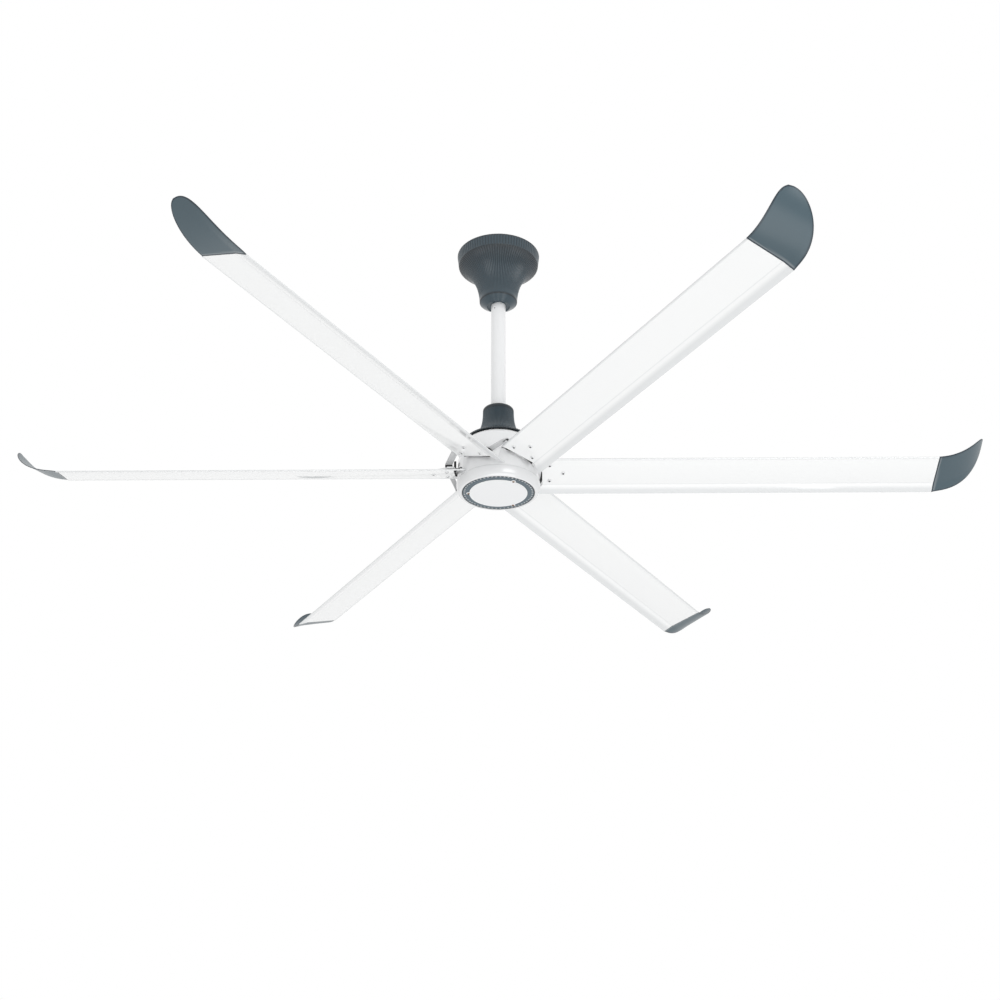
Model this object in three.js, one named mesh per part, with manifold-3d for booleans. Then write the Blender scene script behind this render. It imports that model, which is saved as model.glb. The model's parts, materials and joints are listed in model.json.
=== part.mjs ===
// Orbital ceiling fan: six pitched blades with upswept tips, turning about a rod under the ceiling.
// Millimetres, +Z up. The origin is on the ceiling plane, on the top face of the hanger bracket.

import * as THREE from 'three';
import { ConvexGeometry } from 'three/addons/geometries/ConvexGeometry.js';
import { mergeVertices } from 'three/addons/utils/BufferGeometryUtils.js';
import Module from 'manifold-3d';

const wasm = await Module();
wasm.setup();

// ---------------------------------------------------------------- driving dimensions

const SEAT_GAP = 0.3; // between two pieces that seat on each other
const RUN_GAP = 0.8; // between a turning piece and a still one
const ROUND_STEPS = 24; // sides of a rod-sized round piece
const SHELL_STEPS = 36; // sides of a large shell
const SMALL_STEPS = 8; // sides of a screw hole or a bolt's shank
const HEAD_STEPS = 6; // sides of a small screw
const BUSH_STEPS = 16; // sides of the hanger bush and its holes
const CURVE_STEPS = 4; // straight steps in one curve of a profile

const HEAD_CHAMFER = 0.75; // a screw head's flat top as a share of its radius
const HEX_SHARE = 1.8; // a hexagon's radius as a share of its bolt's radius
const NUT_SHARE = 1.6; // a nut's height as a share of its bolt's radius
const BOLT_HEAD_SHARE = 0.8; // a bolt head's height as a share of its nut's height
const EAR_CLEARANCE = 3; // the rod to the ears of the hanger bracket

const BLADE_COUNT = 6;
const HANG_DROP = 662; // ceiling plane to blade plane

// hanger bracket, bolted flat to the ceiling
const BRACKET_LENGTH = 124;
const BRACKET_WIDTH = 46;
const BRACKET_PLATE = 5;
const ANCHOR_SPACING = 96;
const ANCHOR_RADIUS = 5;
const EAR_DEPTH = 58; // ceiling plane to the ears' lower end
const EAR_THICKNESS = 4;
const EAR_WIDTH = 34;
const PIVOT_DROP = 40; // ceiling plane to the hanger bolt
const HANGER_BOLT_RADIUS = 5;
const BUSH_WALL = 3;
const SPLIT_PIN_RADIUS = 1.2;
const SPLIT_PIN_LENGTH = 22;

// downrod
const ROD_RADIUS = 19.05;
const ROD_WALL = 2;
const ROD_TOP_MARGIN = 17; // rod above the hanger bolt
const PILOT_HOLE_RADIUS = 1.5;
const PILOT_HOLE_DROP = 176;
const PILOT_HOLE_ANGLE = - 122;
const WIRE_HOLE_RADIUS = 4;
const WIRE_HOLE_DROP = 158;
const WIRE_HOLE_ANGLE = - 128;

// canopy under the ceiling
const CANOPY_GAP = 6.2; // ceiling plane to the canopy's rim
const CANOPY_RIM_RADIUS = 108.8;
const CANOPY_BAND_RADIUS = 105.3;
const CANOPY_BAND_HEIGHT = 29.6;
const CANOPY_FLARE_HEIGHT = 113.4;
const CANOPY_NECK_RADIUS = 49.3;
const CANOPY_FLARE_PULLS = [ [ 0.405, 0.178 ], [ 0.048, 0.496 ] ]; // shares of its width and height
const CANOPY_MOUTH_RADIUS = 30;
const CANOPY_MOUTH_HEIGHT = 13.8;
const CANOPY_WALL = 3;
const CANOPY_WEB_HEIGHT = 12;
const CANOPY_WEB_RISE = 24; // mouth to the web that holds the canopy on the rod
const CANOPY_SCREW_RADIUS = 2.5;
const CANOPY_SCREW_HEAD_HEIGHT = 3;

// bell over the rod coupling
const BELL_BOTTOM = 86; // above the blade plane
const BELL_OVERLAP = 4; // the bell's rim outside the dome's top edge
const BELL_RIM_HEIGHT = 8;
const BELL_TOP = 187;
const BELL_NECK_RADIUS = 39.3;
const BELL_FLARE_PULLS = [ [ 0.006, 0.42 ], [ 0.097, 0.85 ] ]; // shares of its width and height
const BELL_RIM_SLOPE = 2; // the rim's sloping edge, across
const BELL_SHOULDER = 6;
const BELL_WALL = 2.6;
const BELL_WEB = 3;
const BELL_WEB_CLEARANCE = 2; // the coupler bolt to the bell's inner web

// motor shaft and coupling
const SHAFT_RADIUS = 15;
const SHAFT_BORE = 8;
const SHAFT_BOTTOM = - 40;
const SHAFT_FLANGE_RADIUS = 35;
const SHAFT_FLANGE_TOP = 110;
const SHAFT_FLANGE_THICKNESS = 5;
const SPIGOT_LENGTH = 50;
const COUPLER_BOLT_RISE = 25; // shaft flange to the coupler bolt
const COUPLER_BOLT_RADIUS = 4;
const COUPLER_HEX_SHARE = 1.7; // its head's radius as a share of the bolt's
const COUPLER_HEAD_HEIGHT = 5;
const COUPLER_MARGIN = 3.5; // the rod to the end of the bolt's shank, less its head
const SHAFT_NUT_RADIUS = 22;
const SHAFT_NUT_HEIGHT = 5;

// motor
const BEARING_RADIUS = 24;
const BEARING_HEIGHT = 14;
const BEARING_HUB_WALL = 6;
const MOTOR_INSET = 42.5; // the stator's rim inside the housing's wall
const STATOR_HEIGHT = 30;
const STATOR_MIDDLE = 7;
const STATOR_TOOTH_LENGTH = 30;
const STATOR_TEETH = 12;
const STATOR_TOOTH_SHARE = 0.62;
const WINDING_HEIGHT = 9;
const WINDING_WIDTH = 23;
const WINDING_INSET = 5; // the windings inside the stator's rim
const MAGNET_THICKNESS = 5;
const ROTOR_WALL = 6;
const ROTOR_TOP = 44;
const ROTOR_PLATE = 6;
const END_PLATE_TOP = - 22;
const END_PLATE_THICKNESS = 4;
const END_PLATE_INSET = 16.5; // the end plate inside the housing's wall

// housing shells
const HOUSING_RADIUS = 104.5;
const SHOULDER_STEP = 2; // the dome's wall inside the ledge
const DOME_ROUNDING = 18.5; // the dome's top edge inside its wall
const DOME_SHOULDER = 15;
const DOME_HOLE_RADIUS = 42;
const DOME_PULLS = [ [ 10, 0.86 ], [ 17.5, 0.45 ] ]; // outside its top edge, share of its rise
const HOUSING_WAIST = - 30;
const HOUSING_LEDGE = 3; // height of the ledge above the waist
const HOUSING_BOTTOM = - 52;
const BOWL_ROUNDING = 11.5; // the bottom lip inside the wall
const BOWL_PULLS = [ 12, 4.5 ]; // below the waist, and inside the wall
const HOUSING_LIP = 2.7; // width of the bottom lip around the ring
const HOUSING_WALL = 2.6;
const SEAM_GAP = 0.8;
const SEAM_LIFT = 7.2; // the seam above a blade's middle plane
const SEAM_LEADING = - 58; // where the seam steps up, across the blade
const SEAM_TAIL = 26; // how far the seam runs on behind the crease
const SEAM_BEND = 15; // extra slope of the seam behind the crease, degrees
const SEAM_OVERRUN = 10; // the cut that makes the seam, past the wall
const LEG_INSET = 24; // the upper leg inside the dome's top edge
const LEG_WALL = 3;
const LOWER_LEG_INSET = 8.3; // the lower leg inside the ring's edge

// vent ring and bottom disc
const VENT_RING_WIDTH = 44.3;
const VENT_RING_THICKNESS = 2.4;
const VENT_RING_BOTTOM = - 51;
const RING_SHOWN = 18.1; // width of the ring round the disc
const DISC_THICKNESS = 2.2;
const DISC_TAB_RADIUS = 5.5;
const DISC_SCREW_OUTSIDE = 1.8; // the screws' circle outside the disc's edge
const DISC_SCREW_ANGLES = [ - 60, 60, 180 ];
const DISC_SCREW_RADIUS = 1.6;
const DISC_SCREW_HEAD = 3.1;
const DISC_SCREW_HEAD_HEIGHT = 1.6;

// blade section, in the plane of its main panel
const BLADE_PITCH = 16.03;
const BLADE_RISE = 1.1; // main panel's middle plane above the blade plane, along the blade's line
const BLADE_OFFSET = 10.8; // the blade's line passes the shaft's axis on this side
const BLADE_SWEEP = - 0.57; // turn of the blade's line from the radial line, degrees
const BLADE_THICKNESS = 3;
const BLADE_LEADING = - 63.5; // leading edge, across the blade
const BLADE_CREASE = 31.2;
const FLAP_WIDTH = 28;
const FLAP_BEND = 9.7;
const BLADE_ROOT_GAP = 11.5; // the blade's root arc outside the housing
const BLADE_LENGTH = 974;
const LIP_RADIUS = 2.2;

// blade bracket, on top of the blade
const IRON_THICKNESS = 4.5;
const STEM_CLEARANCE = 3.9; // the stem's inner end outside the rotor cup
const STEM_HALF_WIDTH = 26;
const STEM_ACROSS = - 10.4; // the stem's middle, across the blade
const IRON_OVERHANG = 5; // the iron's inner end inside the blade's root arc
const IRON_WIDTH = 26;
const IRON_LEADING = - 65.1;
const IRON_TRAILING = 44.1;
const IRON_NOSE_RADIUS = 13;
const IRON_NOSE_ANGLE = 38;
const STEM_SHOULDER = 8;
const BLADE_SCREW_PLACES = [ [ 12, - 40.2 ], [ 12, 13.9 ], [ 46, - 12.7 ] ]; // from the root arc, across
const BLADE_SCREW_RADIUS = 2.5;
const BLADE_SCREW_HEAD = 5;
const BLADE_SCREW_HEAD_HEIGHT = 3;
const LUG_MARGIN = 8; // the lug's end outside its bolt's axis
const LUG_THICKNESS = 15;
const STEM_BOLT_INSET = 8; // the bolt from the stem's inner end
const STEM_BOLT_RADIUS = 4;
const STEM_BOLT_HEAD = 6.5;
const STEM_BOLT_DEPTH = 10;

// link bars between neighbouring brackets
const LINK_INSET = 2; // the link from the iron's inner end
const LINK_WIDTH = 18;
const LINK_THICKNESS = 3;
const LINK_FOOT_HEIGHT = 5;
const LINK_FOOT_LENGTH = 12;
const LINK_ROOT = 0.2; // how far the bar's ends reach into its feet

// upswept tip; its edges are Bezier curves, given as offsets from the blade's end corners
const TIP_THICKNESS = 2.6;
const TIP_EDGE_THICKNESS = 1.6;
const TIP_STEPS = 9;
const TIP_PANEL_STEPS = 4;
const TIP_FLAP_STEPS = 2;
const TIP_END = [ 117.9, 13, 58 ]; // from the leading corner
const TIP_LEADING = [ [ 74.6, 0.2, 4.3 ], [ 98.4, - 5.6, 53.2 ] ];
const TIP_TRAILING = [ [ 24.4, - 1.4, 8.6 ], [ 114.3, - 7, - 6.6 ], [ 126.8, - 47.2, 107.8 ] ];
const TONGUE_LENGTH = 26;
const TONGUE_THICKNESS = 2;
const TONGUE_MARGIN = 20;

// ---------------------------------------------------------------- sizes that follow from these

const domeWallRadius = HOUSING_RADIUS - SHOULDER_STEP;
const domeTopRadius = domeWallRadius - DOME_ROUNDING;
const lipRadius = HOUSING_RADIUS - BOWL_ROUNDING;
const ventRingRadius = lipRadius - HOUSING_LIP;
const ventRingInner = ventRingRadius - VENT_RING_WIDTH;
const discRadius = ventRingRadius - RING_SHOWN;
const discScrewCircle = discRadius + DISC_SCREW_OUTSIDE;
const lowerLegRadius = ventRingRadius - LOWER_LEG_INSET;
const upperLegRadius = domeTopRadius - LEG_INSET;
const endPlateRadius = HOUSING_RADIUS - END_PLATE_INSET;
const bellRimRadius = domeTopRadius + BELL_OVERLAP;

const statorRadius = HOUSING_RADIUS - MOTOR_INSET;
const statorYokeRadius = statorRadius - STATOR_TOOTH_LENGTH;
const windingOuter = statorRadius - WINDING_INSET;
const windingInner = windingOuter - WINDING_WIDTH;
const magnetInner = statorRadius + RUN_GAP;
const magnetOuter = magnetInner + MAGNET_THICKNESS;
const yokeInner = magnetOuter + SEAT_GAP;
const yokeOuter = yokeInner + ROTOR_WALL;

const bladeRoot = HOUSING_RADIUS + BLADE_ROOT_GAP;
const bladeEnd = bladeRoot + BLADE_LENGTH;
const bladeScrews = BLADE_SCREW_PLACES.map( ( [ out, across ] ) => [ bladeRoot + out, across ] );
const ironStart = bladeRoot - IRON_OVERHANG;
const ironEnd = ironStart + IRON_WIDTH;
const stemStart = yokeOuter + STEM_CLEARANCE;
const stemBoltX = stemStart + STEM_BOLT_INSET;
const lugEnd = stemBoltX + LUG_MARGIN;
const linkStart = ironStart + LINK_INSET;

// ---------------------------------------------------------------- colours

const SLATE = { color: 0x3d4a52, roughness: 0.45, metalness: 0.1 };
const WHITE = { color: 0xeef0f0, roughness: 0.35, metalness: 0.1 };
const TIP_SLATE = { color: 0x5c6d76, roughness: 0.5, metalness: 0 };
const GREY_STEEL = { color: 0x8b9094, roughness: 0.4, metalness: 0.8 };
const ZINC = { color: 0xb8bcc0, roughness: 0.35, metalness: 0.9 };
const BRASS = { color: 0x8a6a48, roughness: 0.4, metalness: 0.8 };
const RUBBER = { color: 0x1c1d1f, roughness: 0.9, metalness: 0 };
const LAMINATION = { color: 0x55585c, roughness: 0.6, metalness: 0.7 };
const COPPER = { color: 0xb06a3a, roughness: 0.4, metalness: 0.8 };
const MAGNET = { color: 0x3a3b40, roughness: 0.5, metalness: 0.5 };

// ---------------------------------------------------------------- solids

const radians = THREE.MathUtils.degToRad;

function solid( geometry ) {

	const bare = geometry.clone();
	bare.deleteAttribute( 'normal' );
	bare.deleteAttribute( 'uv' );
	const merged = geometry.userData.closed ? bare : mergeVertices( bare, 1e-4 );
	const corners = merged.index.array;
	const faces = [];
	for ( let i = 0; i < corners.length; i += 3 ) {

		const [ a, b, c ] = corners.subarray( i, i + 3 );
		if ( a !== b && b !== c && c !== a ) faces.push( a, b, c );

	}

	const vertProperties = new Float32Array( merged.attributes.position.array );
	const triVerts = new Uint32Array( faces );
	return new wasm.Manifold( new wasm.Mesh( { numProp: 3, vertProperties, triVerts } ) );

}

function geometryOf( manifold ) {

	const mesh = manifold.getMesh();
	const geometry = new THREE.BufferGeometry();
	geometry.setAttribute( 'position', new THREE.BufferAttribute( mesh.vertProperties, 3 ) );
	geometry.setIndex( new THREE.BufferAttribute( mesh.triVerts, 1 ) );
	geometry.userData.closed = true;
	return geometry;

}

function join( first, ...others ) {

	return geometryOf( others.reduce( ( whole, other ) => whole.add( solid( other ) ), solid( first ) ) );

}

function cut( first, ...tools ) {

	return geometryOf( tools.reduce( ( whole, tool ) => whole.subtract( solid( tool ) ), solid( first ) ) );

}

function keep( first, tool ) {

	return geometryOf( solid( first ).intersect( solid( tool ) ) );

}

// A round piece about Z from a closed profile of [ radius, height ] points.
function turned( profile, steps = ROUND_STEPS ) {

	const points = profile.map( ( [ r, z ] ) => new THREE.Vector2( r, z ) );
	if ( THREE.ShapeUtils.area( points ) < 0 ) points.reverse();
	points.push( points[ 0 ].clone() );
	return new THREE.LatheGeometry( points, steps ).rotateX( Math.PI / 2 );

}

function ring( inner, outer, low, high, steps = ROUND_STEPS ) {

	return turned( [ [ inner, low ], [ outer, low ], [ outer, high ], [ inner, high ] ], steps );

}

function disc( radius, low, high, steps = ROUND_STEPS ) {

	return new THREE.CylinderGeometry( radius, radius, high - low, steps )
		.rotateX( Math.PI / 2 ).translate( 0, 0, ( low + high ) / 2 );

}

// A rod along X, from low to high.
function crossRod( radius, low, high, steps = SMALL_STEPS ) {

	return disc( radius, low, high, steps ).rotateY( Math.PI / 2 );

}

function block( lowX, highX, lowY, highY, lowZ, highZ ) {

	return new THREE.BoxGeometry( highX - lowX, highY - lowY, highZ - lowZ )
		.translate( ( lowX + highX ) / 2, ( lowY + highY ) / 2, ( lowZ + highZ ) / 2 );

}

function plate( outline, low, high, curveSteps = 6 ) {

	const extrusion = { depth: high - low, bevelEnabled: false, curveSegments: curveSteps };
	return new THREE.ExtrudeGeometry( outline, extrusion ).translate( 0, 0, low );

}

// A section drawn in the Y and Z directions, run along X from one place to another.
function alongX( section, start, end ) {

	return plate( section, 0, end - start )
		.rotateX( Math.PI / 2 ).rotateZ( Math.PI / 2 ).translate( start, 0, 0 );

}

// The points of a path of lines and curves, as [ radius, height ].
function pathPoints( path ) {

	return path.getPoints( CURVE_STEPS ).map( ( p ) => [ p.x, p.y ] );

}

// A wall of even thickness, inside an outline whose solid side is on its right when walked downwards.
function walled( outline, wall ) {

	const inner = outline.map( ( point, i ) => {

		const before = outline[ Math.max( i - 1, 0 ) ];
		const after = outline[ Math.min( i + 1, outline.length - 1 ) ];
		const along = new THREE.Vector2( after[ 0 ] - before[ 0 ], after[ 1 ] - before[ 1 ] ).normalize();
		return [ point[ 0 ] + along.y * wall, point[ 1 ] - along.x * wall ];

	} );
	return [ ...outline, ...inner.reverse() ];

}

// The radius that an outline has at a height, where it passes that height last.
function radiusAt( outline, height ) {

	const i = outline.findLastIndex( ( [ , z ] ) => z > height );
	const [ r0, z0 ] = outline[ i ];
	const [ r1, z1 ] = outline[ i + 1 ];
	return THREE.MathUtils.mapLinear( height, z0, z1, r0, r1 );

}

function bezier( points, t ) {

	if ( points.length === 1 ) return points[ 0 ].clone();
	const shorter = points.slice( 1 ).map( ( point, i ) => points[ i ].clone().lerp( point, t ) );
	return bezier( shorter, t );

}

function piece( name, geometry, finish, parent ) {

	const mesh = new THREE.Mesh( geometry, new THREE.MeshStandardMaterial( finish ) );
	mesh.name = name;
	parent.add( mesh );
	return mesh;

}

function group( parent, z = 0 ) {

	const child = new THREE.Group();
	child.position.z = z;
	parent.add( child );
	return child;

}

function fastener( radius, length, headRadius, headHeight, steps = HEAD_STEPS ) {

	return turned( [
		[ 0, - headHeight ], [ headRadius * HEAD_CHAMFER, - headHeight ], [ headRadius, 0 ],
		[ radius, 0 ], [ radius, length ], [ 0, length ],
	], steps );

}

function hexBolt( radius, length, headRadius, headHeight ) {

	return join( disc( headRadius, - headHeight, 0, 6 ), disc( radius, - 1, length, SMALL_STEPS ) );

}

// A hexagon nut along X, from 0 to its height.
function hexNut( boltRadius, hexRadius, height ) {

	const bore = disc( boltRadius + SEAT_GAP, - 1, height + 1, SMALL_STEPS );
	return cut( disc( hexRadius, 0, height, 6 ), bore ).rotateY( Math.PI / 2 );

}

const fan = new THREE.Group();
const ceiling = group( fan );
const hub = group( fan, - HANG_DROP );

// ---------------------------------------------------------------- hanger

const earInner = ROD_RADIUS + EAR_CLEARANCE;
const earOuter = earInner + EAR_THICKNESS;
const bushRadius = HANGER_BOLT_RADIUS + SEAT_GAP + BUSH_WALL;
const boltReach = earOuter + SEAT_GAP;
const nutHeight = HANGER_BOLT_RADIUS * NUT_SHARE;
const hangerHex = HANGER_BOLT_RADIUS * HEX_SHARE;

function hangerBracket() {

	const ear = ( side ) => {

		const face = new THREE.Shape();
		const half = EAR_WIDTH / 2;
		const round = EAR_DEPTH - half;
		face.moveTo( - half, - BRACKET_PLATE / 2 );
		face.lineTo( - half, - round );
		face.absarc( 0, - round, half, Math.PI, 2 * Math.PI, false );
		face.lineTo( half, - BRACKET_PLATE / 2 );
		return alongX( face, side, side + EAR_THICKNESS );

	};

	const halfLength = BRACKET_LENGTH / 2;
	const halfWidth = BRACKET_WIDTH / 2;
	const base = block( - halfLength, halfLength, - halfWidth, halfWidth, - BRACKET_PLATE, 0 );
	const whole = join( base, ear( earInner ), ear( - earOuter ) );
	const boltHole = crossRod( HANGER_BOLT_RADIUS + SEAT_GAP, - earOuter - 1, earOuter + 1 )
		.translate( 0, 0, - PIVOT_DROP );
	const anchors = [ - 1, 1 ].map( ( side ) =>
		disc( ANCHOR_RADIUS, - BRACKET_PLATE - 1, 1, SMALL_STEPS ).translate( side * ANCHOR_SPACING / 2, 0, 0 ) );
	return cut( whole, boltHole, ...anchors );

}

function hangerBolt() {

	const pinX = boltReach + nutHeight + 2 * SPLIT_PIN_RADIUS + SEAT_GAP;
	const length = boltReach + pinX + 3 * SPLIT_PIN_RADIUS;
	const bolt = hexBolt( HANGER_BOLT_RADIUS, length, hangerHex, nutHeight * BOLT_HEAD_SHARE );
	bolt.rotateY( Math.PI / 2 ).translate( - boltReach, 0, 0 );
	const pinHole = disc( SPLIT_PIN_RADIUS + SEAT_GAP, - hangerHex, hangerHex, SMALL_STEPS )
		.translate( pinX, 0, 0 );
	return { bolt: cut( bolt, pinHole ), pinX };

}

piece( 'hanger_bracket', hangerBracket(), GREY_STEEL, ceiling );
const pivot = group( ceiling, - PIVOT_DROP );
const hangerBoltParts = hangerBolt();
piece( 'hanger_bolt', hangerBoltParts.bolt, ZINC, pivot );
const hangerNut = hexNut( HANGER_BOLT_RADIUS, hangerHex, nutHeight );
piece( 'hanger_nut', hangerNut.translate( boltReach, 0, 0 ), ZINC, pivot );
const splitPin = disc( SPLIT_PIN_RADIUS, - SPLIT_PIN_LENGTH / 2, SPLIT_PIN_LENGTH / 2, SMALL_STEPS );
piece( 'split_pin', splitPin.translate( hangerBoltParts.pinX, 0, 0 ), ZINC, pivot );
const bushEnd = earInner - SEAT_GAP;
const bush = ring( HANGER_BOLT_RADIUS + SEAT_GAP, bushRadius, - bushEnd, bushEnd, BUSH_STEPS );
piece( 'hanger_bush', bush.rotateY( Math.PI / 2 ), RUBBER, pivot );

// ---------------------------------------------------------------- downrod

const rodBottom = SHAFT_FLANGE_TOP + SEAT_GAP;
const rodTop = HANG_DROP - PIVOT_DROP + ROD_TOP_MARGIN;
const couplerHeight = SHAFT_FLANGE_TOP + COUPLER_BOLT_RISE;

function radialHole( radius, drop, angle ) {

	return crossRod( radius, ROD_RADIUS - 2 * ROD_WALL, ROD_RADIUS + ROD_WALL )
		.rotateZ( radians( angle ) ).translate( 0, 0, HANG_DROP - drop );

}

function downrod() {

	const pipe = ring( ROD_RADIUS - ROD_WALL, ROD_RADIUS, rodBottom, rodTop );
	const reach = ROD_RADIUS + ROD_WALL;
	const bushHole = crossRod( bushRadius + SEAT_GAP, - reach, reach, BUSH_STEPS )
		.translate( 0, 0, HANG_DROP - PIVOT_DROP );
	const couplerHole = crossRod( COUPLER_BOLT_RADIUS + SEAT_GAP, - reach, reach )
		.translate( 0, 0, couplerHeight );
	const pilot = radialHole( PILOT_HOLE_RADIUS, PILOT_HOLE_DROP, PILOT_HOLE_ANGLE );
	const wire = radialHole( WIRE_HOLE_RADIUS, WIRE_HOLE_DROP, WIRE_HOLE_ANGLE );
	return cut( pipe, bushHole, couplerHole, pilot, wire );

}

piece( 'downrod', downrod(), WHITE, hub );

// ---------------------------------------------------------------- canopy

const canopyTop = HANG_DROP - CANOPY_GAP;
const canopyBand = canopyTop - CANOPY_BAND_HEIGHT;
const canopyNeck = canopyBand - CANOPY_FLARE_HEIGHT;
const canopyMouth = canopyNeck - CANOPY_MOUTH_HEIGHT;
const canopyWeb = canopyMouth + CANOPY_WEB_RISE;
const canopyScrewHeight = canopyWeb + CANOPY_WEB_HEIGHT / 2;

function canopyOutline() {

	const span = CANOPY_BAND_RADIUS - CANOPY_NECK_RADIUS;
	const pulls = CANOPY_FLARE_PULLS.flatMap( ( [ width, drop ] ) =>
		[ CANOPY_NECK_RADIUS + span * width, canopyBand - CANOPY_FLARE_HEIGHT * drop ] );
	const path = new THREE.Path();
	path.moveTo( CANOPY_RIM_RADIUS, canopyTop );
	path.lineTo( CANOPY_BAND_RADIUS, canopyBand );
	path.bezierCurveTo( ...pulls, CANOPY_NECK_RADIUS, canopyNeck );
	path.lineTo( CANOPY_MOUTH_RADIUS, canopyMouth );
	return pathPoints( path );

}

function canopy() {

	const shell = turned( walled( canopyOutline(), CANOPY_WALL ), SHELL_STEPS );
	const webOuter = radiusAt( canopyOutline(), canopyWeb ) - CANOPY_WALL / 2;
	const webTop = canopyWeb + CANOPY_WEB_HEIGHT;
	const web = ring( ROD_RADIUS + SEAT_GAP, webOuter, canopyWeb, webTop, SHELL_STEPS );
	const screwHole = crossRod( CANOPY_SCREW_RADIUS + SEAT_GAP, ROD_RADIUS - 1, CANOPY_RIM_RADIUS )
		.rotateZ( Math.PI / 2 ).translate( 0, 0, canopyScrewHeight );
	return cut( join( shell, web ), screwHole );

}

piece( 'canopy', canopy(), SLATE, hub );
const canopyScrewHead = CANOPY_SCREW_RADIUS * HEX_SHARE;
const canopyScrewSeat = radiusAt( canopyOutline(), canopyScrewHeight + canopyScrewHead ) + SEAT_GAP;
const canopyScrewLength = canopyScrewSeat - ROD_RADIUS - SEAT_GAP;
const canopyScrew = fastener(
	CANOPY_SCREW_RADIUS, canopyScrewLength, canopyScrewHead, CANOPY_SCREW_HEAD_HEIGHT,
);
canopyScrew.rotateX( Math.PI / 2 ).translate( 0, canopyScrewSeat, canopyScrewHeight );
piece( 'canopy_screw', canopyScrew, ZINC, hub );

// ---------------------------------------------------------------- bell

function bellOutline() {

	const flareTop = BELL_TOP - BELL_SHOULDER;
	const flareEnd = BELL_BOTTOM + BELL_RIM_HEIGHT;
	const drop = flareTop - flareEnd;
	const spread = bellRimRadius - BELL_NECK_RADIUS;
	const pulls = BELL_FLARE_PULLS.flatMap( ( [ width, fall ] ) =>
		[ BELL_NECK_RADIUS + spread * width, flareTop - drop * fall ] );
	const path = new THREE.Path();
	path.moveTo( ROD_RADIUS + RUN_GAP, BELL_TOP );
	path.lineTo( BELL_NECK_RADIUS - BELL_SHOULDER, BELL_TOP );
	path.quadraticCurveTo( BELL_NECK_RADIUS, BELL_TOP, BELL_NECK_RADIUS, flareTop );
	path.bezierCurveTo( ...pulls, bellRimRadius - BELL_RIM_SLOPE, flareEnd + 1 );
	path.lineTo( bellRimRadius, flareEnd - 1 );
	path.lineTo( bellRimRadius, BELL_BOTTOM );
	return pathPoints( path );

}

const couplerReach = ROD_RADIUS + COUPLER_MARGIN;
const bellWebInner = couplerReach + COUPLER_HEAD_HEIGHT + BELL_WEB_CLEARANCE;

function lowerBell() {

	const outline = bellOutline();
	const shell = turned( walled( outline, BELL_WALL ), SHELL_STEPS );
	const webBottom = SHAFT_FLANGE_TOP + SEAT_GAP;
	const webOuter = radiusAt( outline, webBottom + BELL_WEB ) - BELL_WALL / 2;
	const web = ring( bellWebInner, webOuter, webBottom, webBottom + BELL_WEB, SHELL_STEPS );
	return join( shell, web );

}

piece( 'lower_bell', lowerBell(), SLATE, hub );

// ---------------------------------------------------------------- shaft, bearings and stator

function motorShaft() {

	const spigotRadius = ROD_RADIUS - ROD_WALL - SEAT_GAP;
	const flangeLow = SHAFT_FLANGE_TOP - SHAFT_FLANGE_THICKNESS;
	const spigotTop = SHAFT_FLANGE_TOP + SPIGOT_LENGTH;
	const body = turned( [
		[ SHAFT_BORE, SHAFT_BOTTOM ], [ SHAFT_RADIUS, SHAFT_BOTTOM ], [ SHAFT_RADIUS, flangeLow ],
		[ SHAFT_FLANGE_RADIUS, flangeLow ], [ SHAFT_FLANGE_RADIUS, SHAFT_FLANGE_TOP ],
		[ spigotRadius, SHAFT_FLANGE_TOP ], [ spigotRadius, spigotTop ], [ SHAFT_BORE, spigotTop ],
	] );
	const boltHole = crossRod( COUPLER_BOLT_RADIUS + SEAT_GAP, - ROD_RADIUS, ROD_RADIUS )
		.translate( 0, 0, couplerHeight );
	return cut( body, boltHole );

}

piece( 'motor_shaft', motorShaft(), ZINC, hub );

const couplerHex = COUPLER_BOLT_RADIUS * COUPLER_HEX_SHARE;
const boltStart = ROD_RADIUS + SEAT_GAP;
const couplerLength = boltStart + couplerReach + COUPLER_HEAD_HEIGHT;
const couplerBolt = hexBolt( COUPLER_BOLT_RADIUS, couplerLength, couplerHex, COUPLER_HEAD_HEIGHT )
	.rotateY( Math.PI / 2 ).translate( - boltStart, 0, couplerHeight );
piece( 'coupler_bolt', couplerBolt, ZINC, hub );
const couplerNut = hexNut( COUPLER_BOLT_RADIUS, couplerHex, COUPLER_HEAD_HEIGHT );
piece( 'coupler_nut', couplerNut.translate( boltStart, 0, couplerHeight ), ZINC, hub );

const shaftSeat = SHAFT_RADIUS + SEAT_GAP;
const nutTop = SHAFT_BOTTOM + 1 + SHAFT_NUT_HEIGHT;
const shaftNutBlank = disc( SHAFT_NUT_RADIUS, SHAFT_BOTTOM + 1, nutTop, 6 );
const shaftNut = cut( shaftNutBlank, disc( shaftSeat, SHAFT_BOTTOM, nutTop + 1 ) );
piece( 'shaft_nut', shaftNut, ZINC, hub );

const lowerBearing = nutTop + SEAT_GAP;
const upperBearing = ROTOR_TOP - ROTOR_PLATE;

function bearing( low ) {

	const high = low + BEARING_HEIGHT;
	const shield = ( BEARING_RADIUS + shaftSeat ) / 2;
	return turned( [
		[ shaftSeat, low ], [ BEARING_RADIUS, low ], [ BEARING_RADIUS, high ],
		[ shield, high - 1 ], [ shaftSeat, high ],
	] );

}

piece( 'bearing_upper', bearing( upperBearing ), ZINC, hub );
piece( 'bearing_lower', bearing( lowerBearing ), ZINC, hub );

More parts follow.
